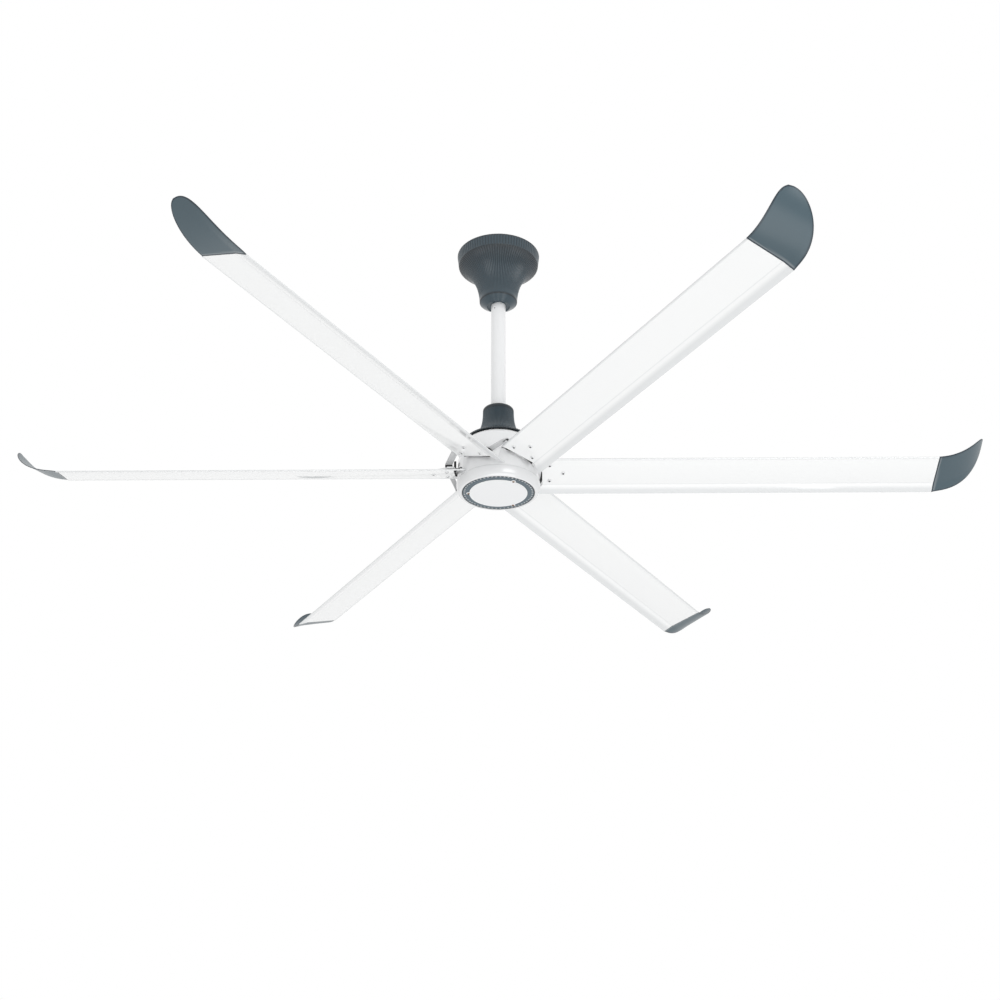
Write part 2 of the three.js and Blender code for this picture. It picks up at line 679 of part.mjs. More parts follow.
function statorCore() {

	const outline = new THREE.Shape();
	const step = 2 * Math.PI / STATOR_TEETH;
	const halfTooth = step * STATOR_TOOTH_SHARE / 2;
	for ( let tooth = 0; tooth < STATOR_TEETH; tooth ++ ) {

		const middle = tooth * step;
		outline.absarc( 0, 0, statorRadius, middle - halfTooth, middle + halfTooth, false );
		for ( const slot of [ middle + halfTooth, middle + step - halfTooth ] ) {

			outline.lineTo( statorYokeRadius * Math.cos( slot ), statorYokeRadius * Math.sin( slot ) );

		}

	}

	const core = plate( outline, STATOR_MIDDLE - STATOR_HEIGHT / 2, STATOR_MIDDLE + STATOR_HEIGHT / 2, 3 );
	return cut( core, disc( shaftSeat, STATOR_MIDDLE - STATOR_HEIGHT, STATOR_MIDDLE + STATOR_HEIGHT ) );

}

piece( 'stator_core', statorCore(), LAMINATION, hub );

const statorTop = STATOR_MIDDLE + STATOR_HEIGHT / 2 + SEAT_GAP;
const statorBottom = STATOR_MIDDLE - STATOR_HEIGHT / 2 - SEAT_GAP;

function winding( low ) {

	const round = WINDING_HEIGHT / 3;
	const high = low + WINDING_HEIGHT;
	return turned( [
		[ windingInner, low ], [ windingOuter, low ], [ windingOuter, high - round ],
		[ windingOuter - round, high ], [ windingInner + round, high ], [ windingInner, high - round ],
	] );

}

piece( 'winding_upper', winding( statorTop ), COPPER, hub );
const lowerWinding = winding( 0 ).rotateX( Math.PI ).translate( 0, 0, statorBottom );
piece( 'winding_lower', lowerWinding, COPPER, hub );

// ---------------------------------------------------------------- blade frame

const rotor = group( hub );
const bladeAngles = Array.from( { length: BLADE_COUNT }, ( _, i ) => i * 2 * Math.PI / BLADE_COUNT );
const bladeFace = BLADE_THICKNESS / 2;
const ironLow = bladeFace + SEAT_GAP;
const ironHigh = ironLow + IRON_THICKNESS;

// Puts a shape drawn in a blade's main plane into the frame of the blade's line.
function pitched( geometry ) {

	return geometry.rotateX( - radians( BLADE_PITCH ) ).translate( 0, 0, BLADE_RISE );

}

// Puts a shape in the frame of a blade's line into the hub's frame.
function onHub( geometry, angle ) {

	return geometry.rotateZ( radians( BLADE_SWEEP ) ).translate( 0, BLADE_OFFSET, 0 ).rotateZ( angle );

}

// Puts a shape in the hub's frame into the frame of the first blade's line.
function fromHub( geometry ) {

	return geometry.translate( 0, - BLADE_OFFSET, 0 ).rotateZ( - radians( BLADE_SWEEP ) );

}

function pitchedPoint( x, across, up ) {

	const point = new THREE.Vector3( x, across, up );
	point.applyAxisAngle( new THREE.Vector3( 1, 0, 0 ), - radians( BLADE_PITCH ) );
	point.z += BLADE_RISE;
	return point;

}

// ---------------------------------------------------------------- rotor

const hubInner = BEARING_RADIUS + SEAT_GAP;
const hubOuter = hubInner + BEARING_HUB_WALL;

function stemBoltHole() {

	return disc( STEM_BOLT_RADIUS + SEAT_GAP, ironLow - STEM_BOLT_DEPTH - SEAT_GAP, ironHigh + 1, SMALL_STEPS )
		.translate( stemBoltX, STEM_ACROSS, 0 );

}

function rotorYoke() {

	const cup = turned( [
		[ hubInner, ROTOR_TOP - ROTOR_PLATE ], [ yokeInner, ROTOR_TOP - ROTOR_PLATE ],
		[ yokeInner, END_PLATE_TOP + SEAT_GAP ], [ yokeOuter, END_PLATE_TOP + SEAT_GAP ],
		[ yokeOuter, ROTOR_TOP ], [ hubOuter, ROTOR_TOP ], [ hubOuter, upperBearing + BEARING_HEIGHT ],
		[ hubInner, upperBearing + BEARING_HEIGHT ],
	], SHELL_STEPS );
	const lug = () => pitched( block(
		0, lugEnd, STEM_ACROSS - STEM_HALF_WIDTH, STEM_ACROSS + STEM_HALF_WIDTH,
		ironLow - SEAT_GAP - LUG_THICKNESS, ironLow - SEAT_GAP,
	) );
	const core = disc( yokeInner + ROTOR_WALL / 2, - HOUSING_RADIUS, HOUSING_RADIUS, SHELL_STEPS );
	const lugs = bladeAngles.map( ( angle ) => cut( onHub( lug(), angle ), core ) );
	const boltHoles = bladeAngles.map( ( angle ) => onHub( pitched( stemBoltHole() ), angle ) );
	return cut( join( cup, ...lugs ), ...boltHoles );

}

piece( 'rotor_yoke', rotorYoke(), LAMINATION, rotor );
piece( 'magnet_ring', ring( magnetInner, magnetOuter, statorBottom, statorTop ), MAGNET, rotor );

const endPlateLow = END_PLATE_TOP - END_PLATE_THICKNESS;
const endPlate = turned( [
	[ hubInner, lowerBearing ], [ hubOuter, lowerBearing ], [ hubOuter, endPlateLow ],
	[ endPlateRadius, endPlateLow ], [ endPlateRadius, END_PLATE_TOP ],
	[ hubOuter, END_PLATE_TOP ], [ hubInner, END_PLATE_TOP ],
], SHELL_STEPS );
piece( 'rotor_end_plate', endPlate, LAMINATION, rotor );

// ---------------------------------------------------------------- housing shells

function domeOutline() {

	const rise = BELL_BOTTOM - RUN_GAP * 2 - DOME_SHOULDER;
	const pulls = DOME_PULLS.flatMap( ( [ out, share ] ) =>
		[ domeTopRadius + out, DOME_SHOULDER + rise * share ] );
	const path = new THREE.Path();
	path.moveTo( DOME_HOLE_RADIUS, DOME_SHOULDER + rise );
	path.lineTo( domeTopRadius, DOME_SHOULDER + rise );
	path.bezierCurveTo( ...pulls, domeWallRadius, DOME_SHOULDER );
	path.lineTo( domeWallRadius, HOUSING_WAIST + 2 * HOUSING_LEDGE );
	path.lineTo( HOUSING_RADIUS, HOUSING_WAIST + HOUSING_LEDGE );
	path.lineTo( HOUSING_RADIUS, HOUSING_WAIST );
	path.bezierCurveTo(
		HOUSING_RADIUS, HOUSING_WAIST - BOWL_PULLS[ 0 ],
		HOUSING_RADIUS - BOWL_PULLS[ 1 ], HOUSING_BOTTOM + 1,
		lipRadius, HOUSING_BOTTOM,
	);
	path.lineTo( ventRingRadius + RUN_GAP, HOUSING_BOTTOM + 1 );
	return pathPoints( path );

}

// Everything below the stepped seam: one ramp under each blade, each stepping up to the next.
function belowSeam( lift ) {

	const trailing = BLADE_CREASE + SEAM_TAIL;
	const deep = - 2 * HOUSING_RADIUS;
	const section = new THREE.Shape();
	section.moveTo( SEAM_LEADING, deep );
	section.lineTo( trailing, deep );
	section.lineTo( trailing, lift - ( trailing - BLADE_CREASE ) * Math.tan( radians( SEAM_BEND ) ) );
	section.lineTo( BLADE_CREASE, lift );
	section.lineTo( SEAM_LEADING, lift );
	const ramp = () => pitched( alongX( section, HOUSING_RADIUS / 2, HOUSING_RADIUS + SEAM_OVERRUN ) );
	const ramps = bladeAngles.map( ( angle ) => onHub( ramp(), angle ) );
	const floor = disc( HOUSING_RADIUS - 2, HOUSING_BOTTOM - 5, HOUSING_WAIST );
	return join( ramps[ 0 ], ...ramps.slice( 1 ), floor );

}

const housingWhole = turned( walled( domeOutline(), HOUSING_WALL ), SHELL_STEPS );
const domeTop = BELL_BOTTOM - RUN_GAP * 2;
const stemSlot = ( angle ) => onHub( pitched( block(
	stemStart, ironStart,
	STEM_ACROSS - STEM_HALF_WIDTH - RUN_GAP, STEM_ACROSS + STEM_HALF_WIDTH + RUN_GAP,
	ironLow - RUN_GAP, ironHigh + SEAM_OVERRUN,
) ), angle );

function upperHousing() {

	const legTop = domeTop - HOUSING_WALL / 2;
	const leg = ring( upperLegRadius, upperLegRadius + LEG_WALL, ROTOR_TOP + SEAT_GAP, legTop, SHELL_STEPS );
	return join( cut( housingWhole, belowSeam( SEAM_LIFT + SEAM_GAP ) ), leg );

}

function lowerHousing() {

	const shell = cut( keep( housingWhole, belowSeam( SEAM_LIFT ) ), ...bladeAngles.map( stemSlot ) );
	const ledgeLow = VENT_RING_BOTTOM + VENT_RING_THICKNESS + SEAT_GAP;
	const ledgeHigh = ledgeLow + HOUSING_WALL;
	const ledgeInner = lowerLegRadius;
	const ledgeOuter = radiusAt( domeOutline(), ledgeLow ) - HOUSING_WALL / 2;
	const ledge = ring( ledgeInner, ledgeOuter, ledgeLow, ledgeHigh, SHELL_STEPS );
	const leg = ring( ledgeInner, ledgeInner + LEG_WALL, ledgeLow, endPlateLow - SEAT_GAP, SHELL_STEPS );
	return join( shell, ledge, leg );

}

piece( 'housing_upper', upperHousing(), WHITE, rotor );
piece( 'housing_lower', lowerHousing(), WHITE, rotor );

// ---------------------------------------------------------------- vent ring and bottom disc

const discTop = VENT_RING_BOTTOM - SEAT_GAP;
const discBottom = discTop - DISC_THICKNESS;
const atDiscScrew = ( geometry, angle ) =>
	geometry.translate( discScrewCircle, 0, 0 ).rotateZ( radians( angle ) );
const ventRingTop = VENT_RING_BOTTOM + VENT_RING_THICKNESS;
const discScrewHoles = DISC_SCREW_ANGLES.map( ( angle ) =>
	atDiscScrew( disc( DISC_SCREW_RADIUS + SEAT_GAP, discBottom - 1, ventRingTop + 1, SMALL_STEPS ), angle ) );

const ventRing = ring( ventRingInner, ventRingRadius, VENT_RING_BOTTOM, ventRingTop, SHELL_STEPS );
piece( 'vent_ring', cut( ventRing, ...discScrewHoles ), SLATE, rotor );
const discTabs = DISC_SCREW_ANGLES.map( ( angle ) =>
	atDiscScrew( disc( DISC_TAB_RADIUS, discBottom, discTop, BUSH_STEPS ), angle ) );
const coverDisc = join( disc( discRadius, discBottom, discTop, SHELL_STEPS ), ...discTabs );
piece( 'bottom_disc', cut( coverDisc, ...discScrewHoles ), WHITE, rotor );

DISC_SCREW_ANGLES.forEach( ( angle, i ) => {

	const length = ventRingTop - discBottom + SEAT_GAP;
	const screw = fastener( DISC_SCREW_RADIUS, length, DISC_SCREW_HEAD, DISC_SCREW_HEAD_HEIGHT )
		.translate( 0, 0, discBottom - SEAT_GAP );
	piece( `disc_screw_${ i + 1 }`, atDiscScrew( screw, angle ), BRASS, rotor );

} );

// ---------------------------------------------------------------- blades

const flapSlope = radians( FLAP_BEND );
const trailingEdge = [
	BLADE_CREASE + FLAP_WIDTH * Math.cos( flapSlope ), - FLAP_WIDTH * Math.sin( flapSlope ),
];

function bladeSection() {

	const t = bladeFace;
	const shift = t * Math.tan( flapSlope / 2 );
	const [ edge, drop ] = trailingEdge;
	const acrossFlap = [ t * Math.sin( flapSlope ), t * Math.cos( flapSlope ) ];
	const lip = Math.max( LIP_RADIUS, t );
	const section = new THREE.Shape();
	section.absarc( BLADE_LEADING + lip, t - lip, lip, Math.PI / 2, Math.PI * 1.5, false );
	section.lineTo( BLADE_LEADING + 2 * lip, - t );
	section.lineTo( BLADE_CREASE - shift, - t );
	section.lineTo( edge - acrossFlap[ 0 ], drop - acrossFlap[ 1 ] );
	section.lineTo( edge + acrossFlap[ 0 ], drop + acrossFlap[ 1 ] );
	section.lineTo( BLADE_CREASE + shift, t );
	return section;

}

function blade() {

	const deep = 2 * BLADE_THICKNESS;
	const screwHoles = bladeScrews.map( ( [ x, across ] ) =>
		disc( BLADE_SCREW_RADIUS + SEAT_GAP, - deep, deep, SMALL_STEPS ).translate( x, across, 0 ) );
	const blank = alongX( bladeSection(), bladeRoot + BLADE_LEADING / 2, bladeEnd );
	const panel = pitched( cut( blank, ...screwHoles ) );
	return cut( panel, fromHub( disc( bladeRoot, - HOUSING_RADIUS, HOUSING_RADIUS, 2 * SHELL_STEPS ) ) );

}

function ironOutline() {

	const [ noseX, noseAcross ] = bladeScrews[ 2 ];
	const turn = radians( IRON_NOSE_ANGLE );
	const outline = new THREE.Shape();
	outline.moveTo( stemStart, STEM_ACROSS - STEM_HALF_WIDTH );
	outline.lineTo( ironStart - STEM_SHOULDER, STEM_ACROSS - STEM_HALF_WIDTH );
	outline.lineTo( ironStart, IRON_LEADING );
	outline.lineTo( ironEnd, IRON_LEADING );
	outline.absarc( noseX, noseAcross, IRON_NOSE_RADIUS, - turn, turn, false );
	outline.lineTo( ironEnd, IRON_TRAILING );
	outline.lineTo( ironStart, IRON_TRAILING );
	outline.lineTo( ironStart - STEM_SHOULDER, STEM_ACROSS + STEM_HALF_WIDTH );
	outline.lineTo( stemStart, STEM_ACROSS + STEM_HALF_WIDTH );
	return outline;

}

// The three blade screws are one solid with the bracket that they are tapped into.
function bladeBracket() {

	const screws = bladeScrews.map( ( [ x, across ] ) => fastener(
		BLADE_SCREW_RADIUS, ironLow + bladeFace + 2 * SEAT_GAP, BLADE_SCREW_HEAD, BLADE_SCREW_HEAD_HEIGHT,
	).translate( x, across, - bladeFace - SEAT_GAP ) );
	const iron = join( plate( ironOutline(), ironLow, ironHigh ), ...screws );
	return pitched( cut( iron, stemBoltHole() ) );

}

function bracketBolt() {

	const length = IRON_THICKNESS + SEAT_GAP + STEM_BOLT_DEPTH;
	const bolt = hexBolt( STEM_BOLT_RADIUS, length, STEM_BOLT_HEAD, STEM_BOLT_RADIUS );
	return pitched( bolt.rotateX( Math.PI ).translate( stemBoltX, STEM_ACROSS, ironHigh + SEAT_GAP ) );

}

// A strap from the leading end of one bracket down to the trailing end of the bracket ahead of it.
function linkBar() {

	const low = ironHigh + SEAT_GAP;
	const middle = low + LINK_FOOT_HEIGHT / 2;
	const turn = new THREE.Matrix4().makeRotationZ( - 2 * Math.PI / BLADE_COUNT );
	const toHub = new THREE.Matrix4().makeRotationZ( radians( BLADE_SWEEP ) );
	toHub.setPosition( 0, BLADE_OFFSET, 0 );
	const ahead = toHub.clone().invert().multiply( turn ).multiply( toHub );
	const slab = ( from, to, bottom, top ) => [ linkStart, linkStart + LINK_WIDTH ].flatMap( ( x ) =>
		[ from, to ].flatMap( ( across ) => [ bottom, top ].map( ( up ) => pitchedPoint( x, across, up ) ) ) );
	const foot = ( edge, inwards ) =>
		slab( edge, edge + inwards * LINK_FOOT_LENGTH, low, low + LINK_FOOT_HEIGHT );
	const half = LINK_THICKNESS / 2;
	const barEnd = ( edge, inwards ) =>
		slab( edge, edge + inwards * LINK_ROOT, middle - half, middle + half );
	const moved = ( points ) => points.map( ( point ) => point.applyMatrix4( ahead ) );
	const bar = [ ...barEnd( IRON_LEADING, 1 ), ...moved( barEnd( IRON_TRAILING, - 1 ) ) ];
	return join(
		new ConvexGeometry( bar ),
		new ConvexGeometry( foot( IRON_LEADING, 1 ) ),
		new ConvexGeometry( moved( foot( IRON_TRAILING, - 1 ) ) ),
	);

}

// ---------------------------------------------------------------- upswept tips

function tipRoot( share ) {

	const { lerp } = THREE.MathUtils;
	const x = bladeEnd + SEAT_GAP;
	const mainShare = TIP_PANEL_STEPS / ( TIP_PANEL_STEPS + TIP_FLAP_STEPS );
	const onPanel = lerp( BLADE_LEADING, BLADE_CREASE, share / mainShare );
	if ( share <= mainShare ) return pitchedPoint( x, onPanel, 0 );
	const along = ( share - mainShare ) / ( 1 - mainShare );
	const onFlap = lerp( BLADE_CREASE, trailingEdge[ 0 ], along );
	return pitchedPoint( x, onFlap, trailingEdge[ 1 ] * along );

}

function tipEdges() {

	const from = ( corner, offset ) => corner.clone().add( new THREE.Vector3( ...offset ) );
	const front = tipRoot( 0 );
	const back = tipRoot( 1 );
	const end = from( front, TIP_END );
	return {
		leading: [ front, ...TIP_LEADING.map( ( offset ) => from( front, offset ) ), end ],
		trailing: [ back, ...TIP_TRAILING.map( ( offset ) => from( back, offset ) ), end ],
	};

}

function tipShell() {

	const { leading, trailing } = tipEdges();
	const across = TIP_PANEL_STEPS + TIP_FLAP_STEPS;
	const front = tipRoot( 0 );
	const back = tipRoot( 1 );
	const chord = back.clone().sub( front );
	const acrossChord = ( share ) => tipRoot( share ).sub( front ).dot( chord ) / chord.lengthSq();
	const middle = ( u, share ) => {

		const chordShare = acrossChord( share );
		const line = bezier( leading, u ).lerp( bezier( trailing, u ), chordShare );
		const crown = tipRoot( share ).sub( front.clone().lerp( back, chordShare ) );
		return line.addScaledVector( crown, ( 1 - u ) * ( 1 - u ) );

	};

	const positions = [];
	const rows = [];
	const small = 1e-3;
	for ( let i = 0; i < TIP_STEPS; i ++ ) {

		const u = i / TIP_STEPS;
		const upper = [];
		const lower = [];
		for ( let j = 0; j <= across; j ++ ) {

			const share = j / across;
			const point = middle( u, share );
			const outwards = middle( u + small, share ).sub( point );
			const sideStep = j < across ? small : - small;
			const beside = middle( u, share + sideStep );
			const sideways = beside.sub( point ).multiplyScalar( Math.sign( sideStep ) );
			const normal = outwards.cross( sideways ).normalize();
			const full = THREE.MathUtils.lerp( TIP_THICKNESS, TIP_EDGE_THICKNESS, u );
			const thick = j === 0 || j === across ? TIP_EDGE_THICKNESS : full;
			upper.push( point.clone().addScaledVector( normal, thick / 2 ) );
			lower.push( point.clone().addScaledVector( normal, - thick / 2 ) );

		}

		rows.push( [ ...upper, ...lower.reverse() ] );

	}

	const count = rows[ 0 ].length;
	rows.flat().forEach( ( point ) => positions.push( ...point.toArray() ) );
	positions.push( ...bezier( leading, 1 ).toArray() );
	const endIndex = TIP_STEPS * count;
	const faces = [];
	for ( let i = 0; i < TIP_STEPS; i ++ ) {

		for ( let j = 0; j < count; j ++ ) {

			const a = i * count + j;
			const b = i * count + ( j + 1 ) % count;
			if ( i === TIP_STEPS - 1 ) faces.push( a, endIndex, b );
			else faces.push( a, a + count, b, b, a + count, b + count );

		}

	}

	for ( let j = 0; j < across; j ++ ) {

		const opposite = count - 1 - j;
		faces.push( j, j + 1, opposite, j + 1, opposite - 1, opposite );

	}

	const geometry = new THREE.BufferGeometry();
	geometry.setAttribute( 'position', new THREE.Float32BufferAttribute( positions, 3 ) );
	geometry.setIndex( faces );
	return geometry;

}

function bladeTip() {

	const low = bladeFace + SEAT_GAP;
	const bar = ( start, bottom ) => pitched( block(
		start, bladeEnd + TONGUE_THICKNESS,
		BLADE_LEADING + TONGUE_MARGIN, BLADE_CREASE - TONGUE_MARGIN,
		bottom, low + TONGUE_THICKNESS,
	) );
	const tongue = bar( bladeEnd - TONGUE_LENGTH, low );
	const web = bar( bladeEnd + SEAT_GAP, 0 );
	return join( tipShell(), tongue, web );

}

const parts = {
	blade: [ blade(), WHITE ],
	winglet: [ bladeTip(), TIP_SLATE ],
	blade_bracket: [ bladeBracket(), WHITE ],
	bracket_bolt: [ bracketBolt(), ZINC ],
	link_bar: [ linkBar(), GREY_STEEL ],
};

bladeAngles.forEach( ( angle, i ) => {

	const arm = group( rotor );
	arm.rotation.z = angle;
	const line = group( arm );
	line.position.y = BLADE_OFFSET;
	line.rotation.z = radians( BLADE_SWEEP );
	for ( const [ name, [ geometry, finish ] ] of Object.entries( parts ) ) {

		piece( `${ name }_${ i + 1 }`, geometry, finish, line );

	}

} );

export default fan;
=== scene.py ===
"""Looks of a six-blade ceiling fan: fine meshes and finishes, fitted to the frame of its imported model.

Metres, +Z up. The origin is on the ceiling, and the blades turn about the Z axis at HUB_HEIGHT.
Heights in the property groups are measured from the blade plane, unless their description says otherwise.
"""

import json
import math

import bmesh
import bpy
import numpy as np
from bpy.props import FloatProperty, FloatVectorProperty, IntProperty, PointerProperty
from mathutils import Matrix, Vector


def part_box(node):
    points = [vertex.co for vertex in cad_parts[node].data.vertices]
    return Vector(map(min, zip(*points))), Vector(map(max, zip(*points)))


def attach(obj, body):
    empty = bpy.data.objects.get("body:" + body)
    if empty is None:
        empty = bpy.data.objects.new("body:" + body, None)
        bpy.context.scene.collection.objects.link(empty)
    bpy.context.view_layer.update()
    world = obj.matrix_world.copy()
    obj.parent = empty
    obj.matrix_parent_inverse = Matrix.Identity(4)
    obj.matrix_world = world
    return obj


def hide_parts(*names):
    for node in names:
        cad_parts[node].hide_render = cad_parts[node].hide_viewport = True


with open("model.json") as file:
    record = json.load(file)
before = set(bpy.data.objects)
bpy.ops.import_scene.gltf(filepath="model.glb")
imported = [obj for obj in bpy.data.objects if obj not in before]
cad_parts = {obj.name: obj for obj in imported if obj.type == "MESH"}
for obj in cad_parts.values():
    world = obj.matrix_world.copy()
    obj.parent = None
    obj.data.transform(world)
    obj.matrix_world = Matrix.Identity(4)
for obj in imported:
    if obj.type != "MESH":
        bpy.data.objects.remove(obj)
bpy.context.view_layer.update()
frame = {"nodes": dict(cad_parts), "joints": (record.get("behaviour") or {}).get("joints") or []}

bl_info = {
    "name": "Ceiling fan looks",
    "version": (1, 0, 0),
    "blender": (4, 5, 0),
    "location": "View3D > Sidebar > Ceiling fan",
    "description": "Builds the fine meshes, finishes and stage of a six-blade ceiling fan",
    "category": "Object",
}

# ---------------------------------------------------------------- places taken from the frame

HUB_HEIGHT = next(joint["pos_m"][2] for joint in frame["joints"] if joint["name"] == "rotor_spin")
BLADE_NODES = sorted(node for node in frame["nodes"] if node.startswith("blade_") and node[6:].isdigit())
BLADE_COUNT = len(BLADE_NODES)
BLADE_STEP = math.tau / BLADE_COUNT


def top_of(node):
    """The height of a node's highest point above the blade plane."""
    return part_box(node)[1].z - HUB_HEIGHT


def bottom_of(node):
    """The height of a node's lowest point above the blade plane."""
    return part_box(node)[0].z - HUB_HEIGHT


def radius_of(node):
    """The radius of a round node."""
    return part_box(node)[1].x


# ---------------------------------------------------------------- sizes and colours that a user may change


def length(name, description, default):
    """A length in metres."""
    return FloatProperty(name=name, description=description, default=default, unit="LENGTH", precision=4)


def turn(name, description, degrees):
    """An angle, given in degrees and kept in radians."""
    return FloatProperty(name=name, description=description, default=math.radians(degrees), subtype="ANGLE")


def share(name, description, default):
    """A plain number."""
    return FloatProperty(name=name, description=description, default=default)


def whole(name, description, default):
    """A count."""
    return IntProperty(name=name, description=description, default=default, min=1)


def paint(name, description, shade):
    """A colour, given as red, green and blue from 0 to 255 on a screen."""
    linear = [(((c / 255) + 0.055) / 1.055) ** 2.4 for c in shade]
    return FloatVectorProperty(name=name, description=description, default=linear, subtype="COLOR", size=3)


class CanopySizes(bpy.types.PropertyGroup):
    """The flared cover under the ceiling."""

    rim_radius: length("Rim radius", "Radius at the top edge", radius_of("canopy"))
    top: length("Top", "Height of the top edge", 0.6558)
    band_radius: length("Band radius", "Radius under the upright band", 0.1053)
    band_height: length("Band height", "Height of the upright band", 0.0296)
    flare_height: length("Flare height", "Height of the flare between band and neck", 0.1134)
    neck_radius: length("Neck radius", "Radius where the flare ends", 0.0493)
    mouth_radius: length("Mouth radius", "Radius of the opening round the rod", 0.030)
    mouth_height: length("Mouth height", "Height of the cone from neck to mouth", 0.0138)
    wall: length("Wall", "Thickness of the shell", 0.003)
    funnel: length("Funnel", "Rise of the funnel from the mouth to the rod", 0.0025)
    grip: length("Grip", "From the mouth up to the top of the web that grips the rod", 0.036)
    ribs: whole("Ribs", "Number of ribs round the canopy", 88)
    rib_depth: length("Rib depth", "Depth of the grooves between the ribs", 0.0018)


class BellSizes(bpy.types.PropertyGroup):
    """The bell over the rod's coupling."""

    rim_radius: length("Rim radius", "Radius at the lower edge", 0.0866)
    bottom: length("Bottom", "Height of the lower edge", bottom_of("lower_bell") + 0.0016)
    top: length("Top", "Height of the upper edge", top_of("lower_bell"))
    rim_height: length("Rim height", "Height of the upright lower rim", 0.0046)
    neck_radius: length("Neck radius", "Radius of the neck", 0.0393)
    shoulder: length("Shoulder", "Rounding between the neck and the top", 0.006)
    bore: length("Bore", "Radius of the hole round the rod", 0.01985)
    wall: length("Wall", "Thickness of the shell", 0.0026)
    ribs: whole("Ribs", "Number of ribs round the bell", 84)
    rib_depth: length("Rib depth", "Depth of the grooves between the ribs", 0.0013)


class HousingSizes(bpy.types.PropertyGroup):
    """The two white shells round the motor."""

    radius: length("Radius", "Largest radius, at the ledge", radius_of("housing_lower"))
    wall_radius: length("Wall radius", "Radius of the upright wall", 0.1025)
    top: length("Top", "Height of the dome's flat top", top_of("housing_upper"))
    top_radius: length("Top radius", "Radius of the dome's flat top", 0.084)
    hole_radius: length("Hole radius", "Radius of the hole round the shaft", 0.042)
    shoulder: length("Shoulder", "Height where the dome meets the upright wall", 0.015)
    waist: length("Waist", "Height of the bowl's upper end", -0.030)
    ledge: length("Ledge", "Height of the sloping ledge above the waist", 0.003)
    bottom: length("Bottom", "Height of the bowl's lower lip", bottom_of("housing_lower"))
    lip_radius: length("Lip radius", "Radius of the bowl's lower lip", 0.093)
    lip_width: length("Lip width", "Width of the lip round the vent ring", 0.0019)
    wall: length("Wall", "Thickness of the shells", 0.0026)
    seam_gap: length("Seam gap", "Gap round what passes through the seam", 0.0008)
    seam_lift: length("Seam lift", "Lower shell's edge above a blade's middle plane", 0.0050)
    slot: length("Slot", "Height of the slot between the two shells", 0.0030)
    seam_leading: length("Seam step", "Where the seam steps up, across the blade", -0.058)
    seam_bend: turn("Seam bend", "Extra slope of the seam behind the crease", 15)
    edge: length("Edge rounding", "Rounding of the shells' edges", 0.0006)


class RingSizes(bpy.types.PropertyGroup):
    """The perforated ring and the cover disc under the motor."""

    radius: length("Ring radius", "Outer radius of the ring", radius_of("vent_ring"))
    inner: length("Ring inner radius", "Inner radius of the ring, above the disc", 0.046)
    bottom: length("Ring bottom", "Height of the ring's lower face", bottom_of("vent_ring"))
    thickness: length("Ring thickness", "Thickness of the ring", 0.0008)
    holes: whole("Perforations", "Number of triangular perforations", 54)
    hole_radius: length("Perforation circle", "Radius of the circle of perforations", 0.0853)
    hole_size: length("Perforation size", "From a perforation's middle to its corners", 0.0046)
    edge: length("Dark edge", "Width of the ring's dark outer edge", 0.0022)
    # A painted highlight: the disc's rim shows the blades' brighter white.
    disc_rim: length("Disc rim", "Width of the disc's bright rim", 0.0024)
    disc_radius: length("Disc radius", "Radius of the cover disc", 0.0722)
    disc_thickness: length("Disc thickness", "Thickness of the cover disc", 0.0022)
    disc_crown: length("Disc crown", "How far the disc's rim lies above its middle", 0.0008)
    tab_circle: length("Screw circle", "Radius of the circle of the disc's screws", 0.074)
    tab_radius: length("Tab radius", "Radius of the disc's screw tabs", 0.0055)
    screw_radius: length("Screw head radius", "Radius of the disc's screw heads", 0.0031)


class BladeSizes(bpy.types.PropertyGroup):
    """A blade and its place, drawn across the blade in the plane of its main panel."""

    pitch: turn("Pitch", "Turn of the main panel about the blade's line", 16.03)
    sweep: turn("Sweep", "Turn of the blade's line from the radial line", -0.57)
    offset: length("Offset", "Distance of the blade's line from the shaft's axis", 0.0108)
    rise: length("Rise", "Main panel's middle plane above the blade plane", 0.0011)
    root: length("Root", "Radius of the root's arc", 0.116)
    root_trim: length("Root trim", "How much nearer the shaft the root lies at the trailing edge", 0.0105)
    end: length("End", "Distance of the blade's end from the shaft, along its line", 1.090)
    leading: length("Leading edge", "Place of the leading edge, across the blade", -0.0635)
    crease: length("Crease", "Place of the crease, across the blade", 0.0312)
    flap: length("Flap width", "Width of the panel behind the crease", 0.028)
    flap_bend: turn("Flap bend", "Turn of the panel behind the crease", 9.7)
    thickness: length("Thickness", "Thickness of the blade", 0.003)
    lip: length("Lip radius", "Radius of the rolled leading lip", 0.0022)


class TipSizes(bpy.types.PropertyGroup):
    """The upswept tip; its edges are curves given as offsets from the corners of the blade's end."""

    gap: length("Gap", "Gap between the blade's end and the tip", 0.0003)
    thickness: length("Thickness", "Thickness at the root", 0.0026)
    edge: length("Edge thickness", "Thickness along the edges", 0.0016)
    tongue: length("Tongue length", "Length of the tongue that lies on the blade", 0.026)
    tongue_thickness: length("Tongue thickness", "Thickness of the tongue", 0.002)
    tongue_margin: length("Tongue margin", "Tongue to the panel's two edges", 0.020)


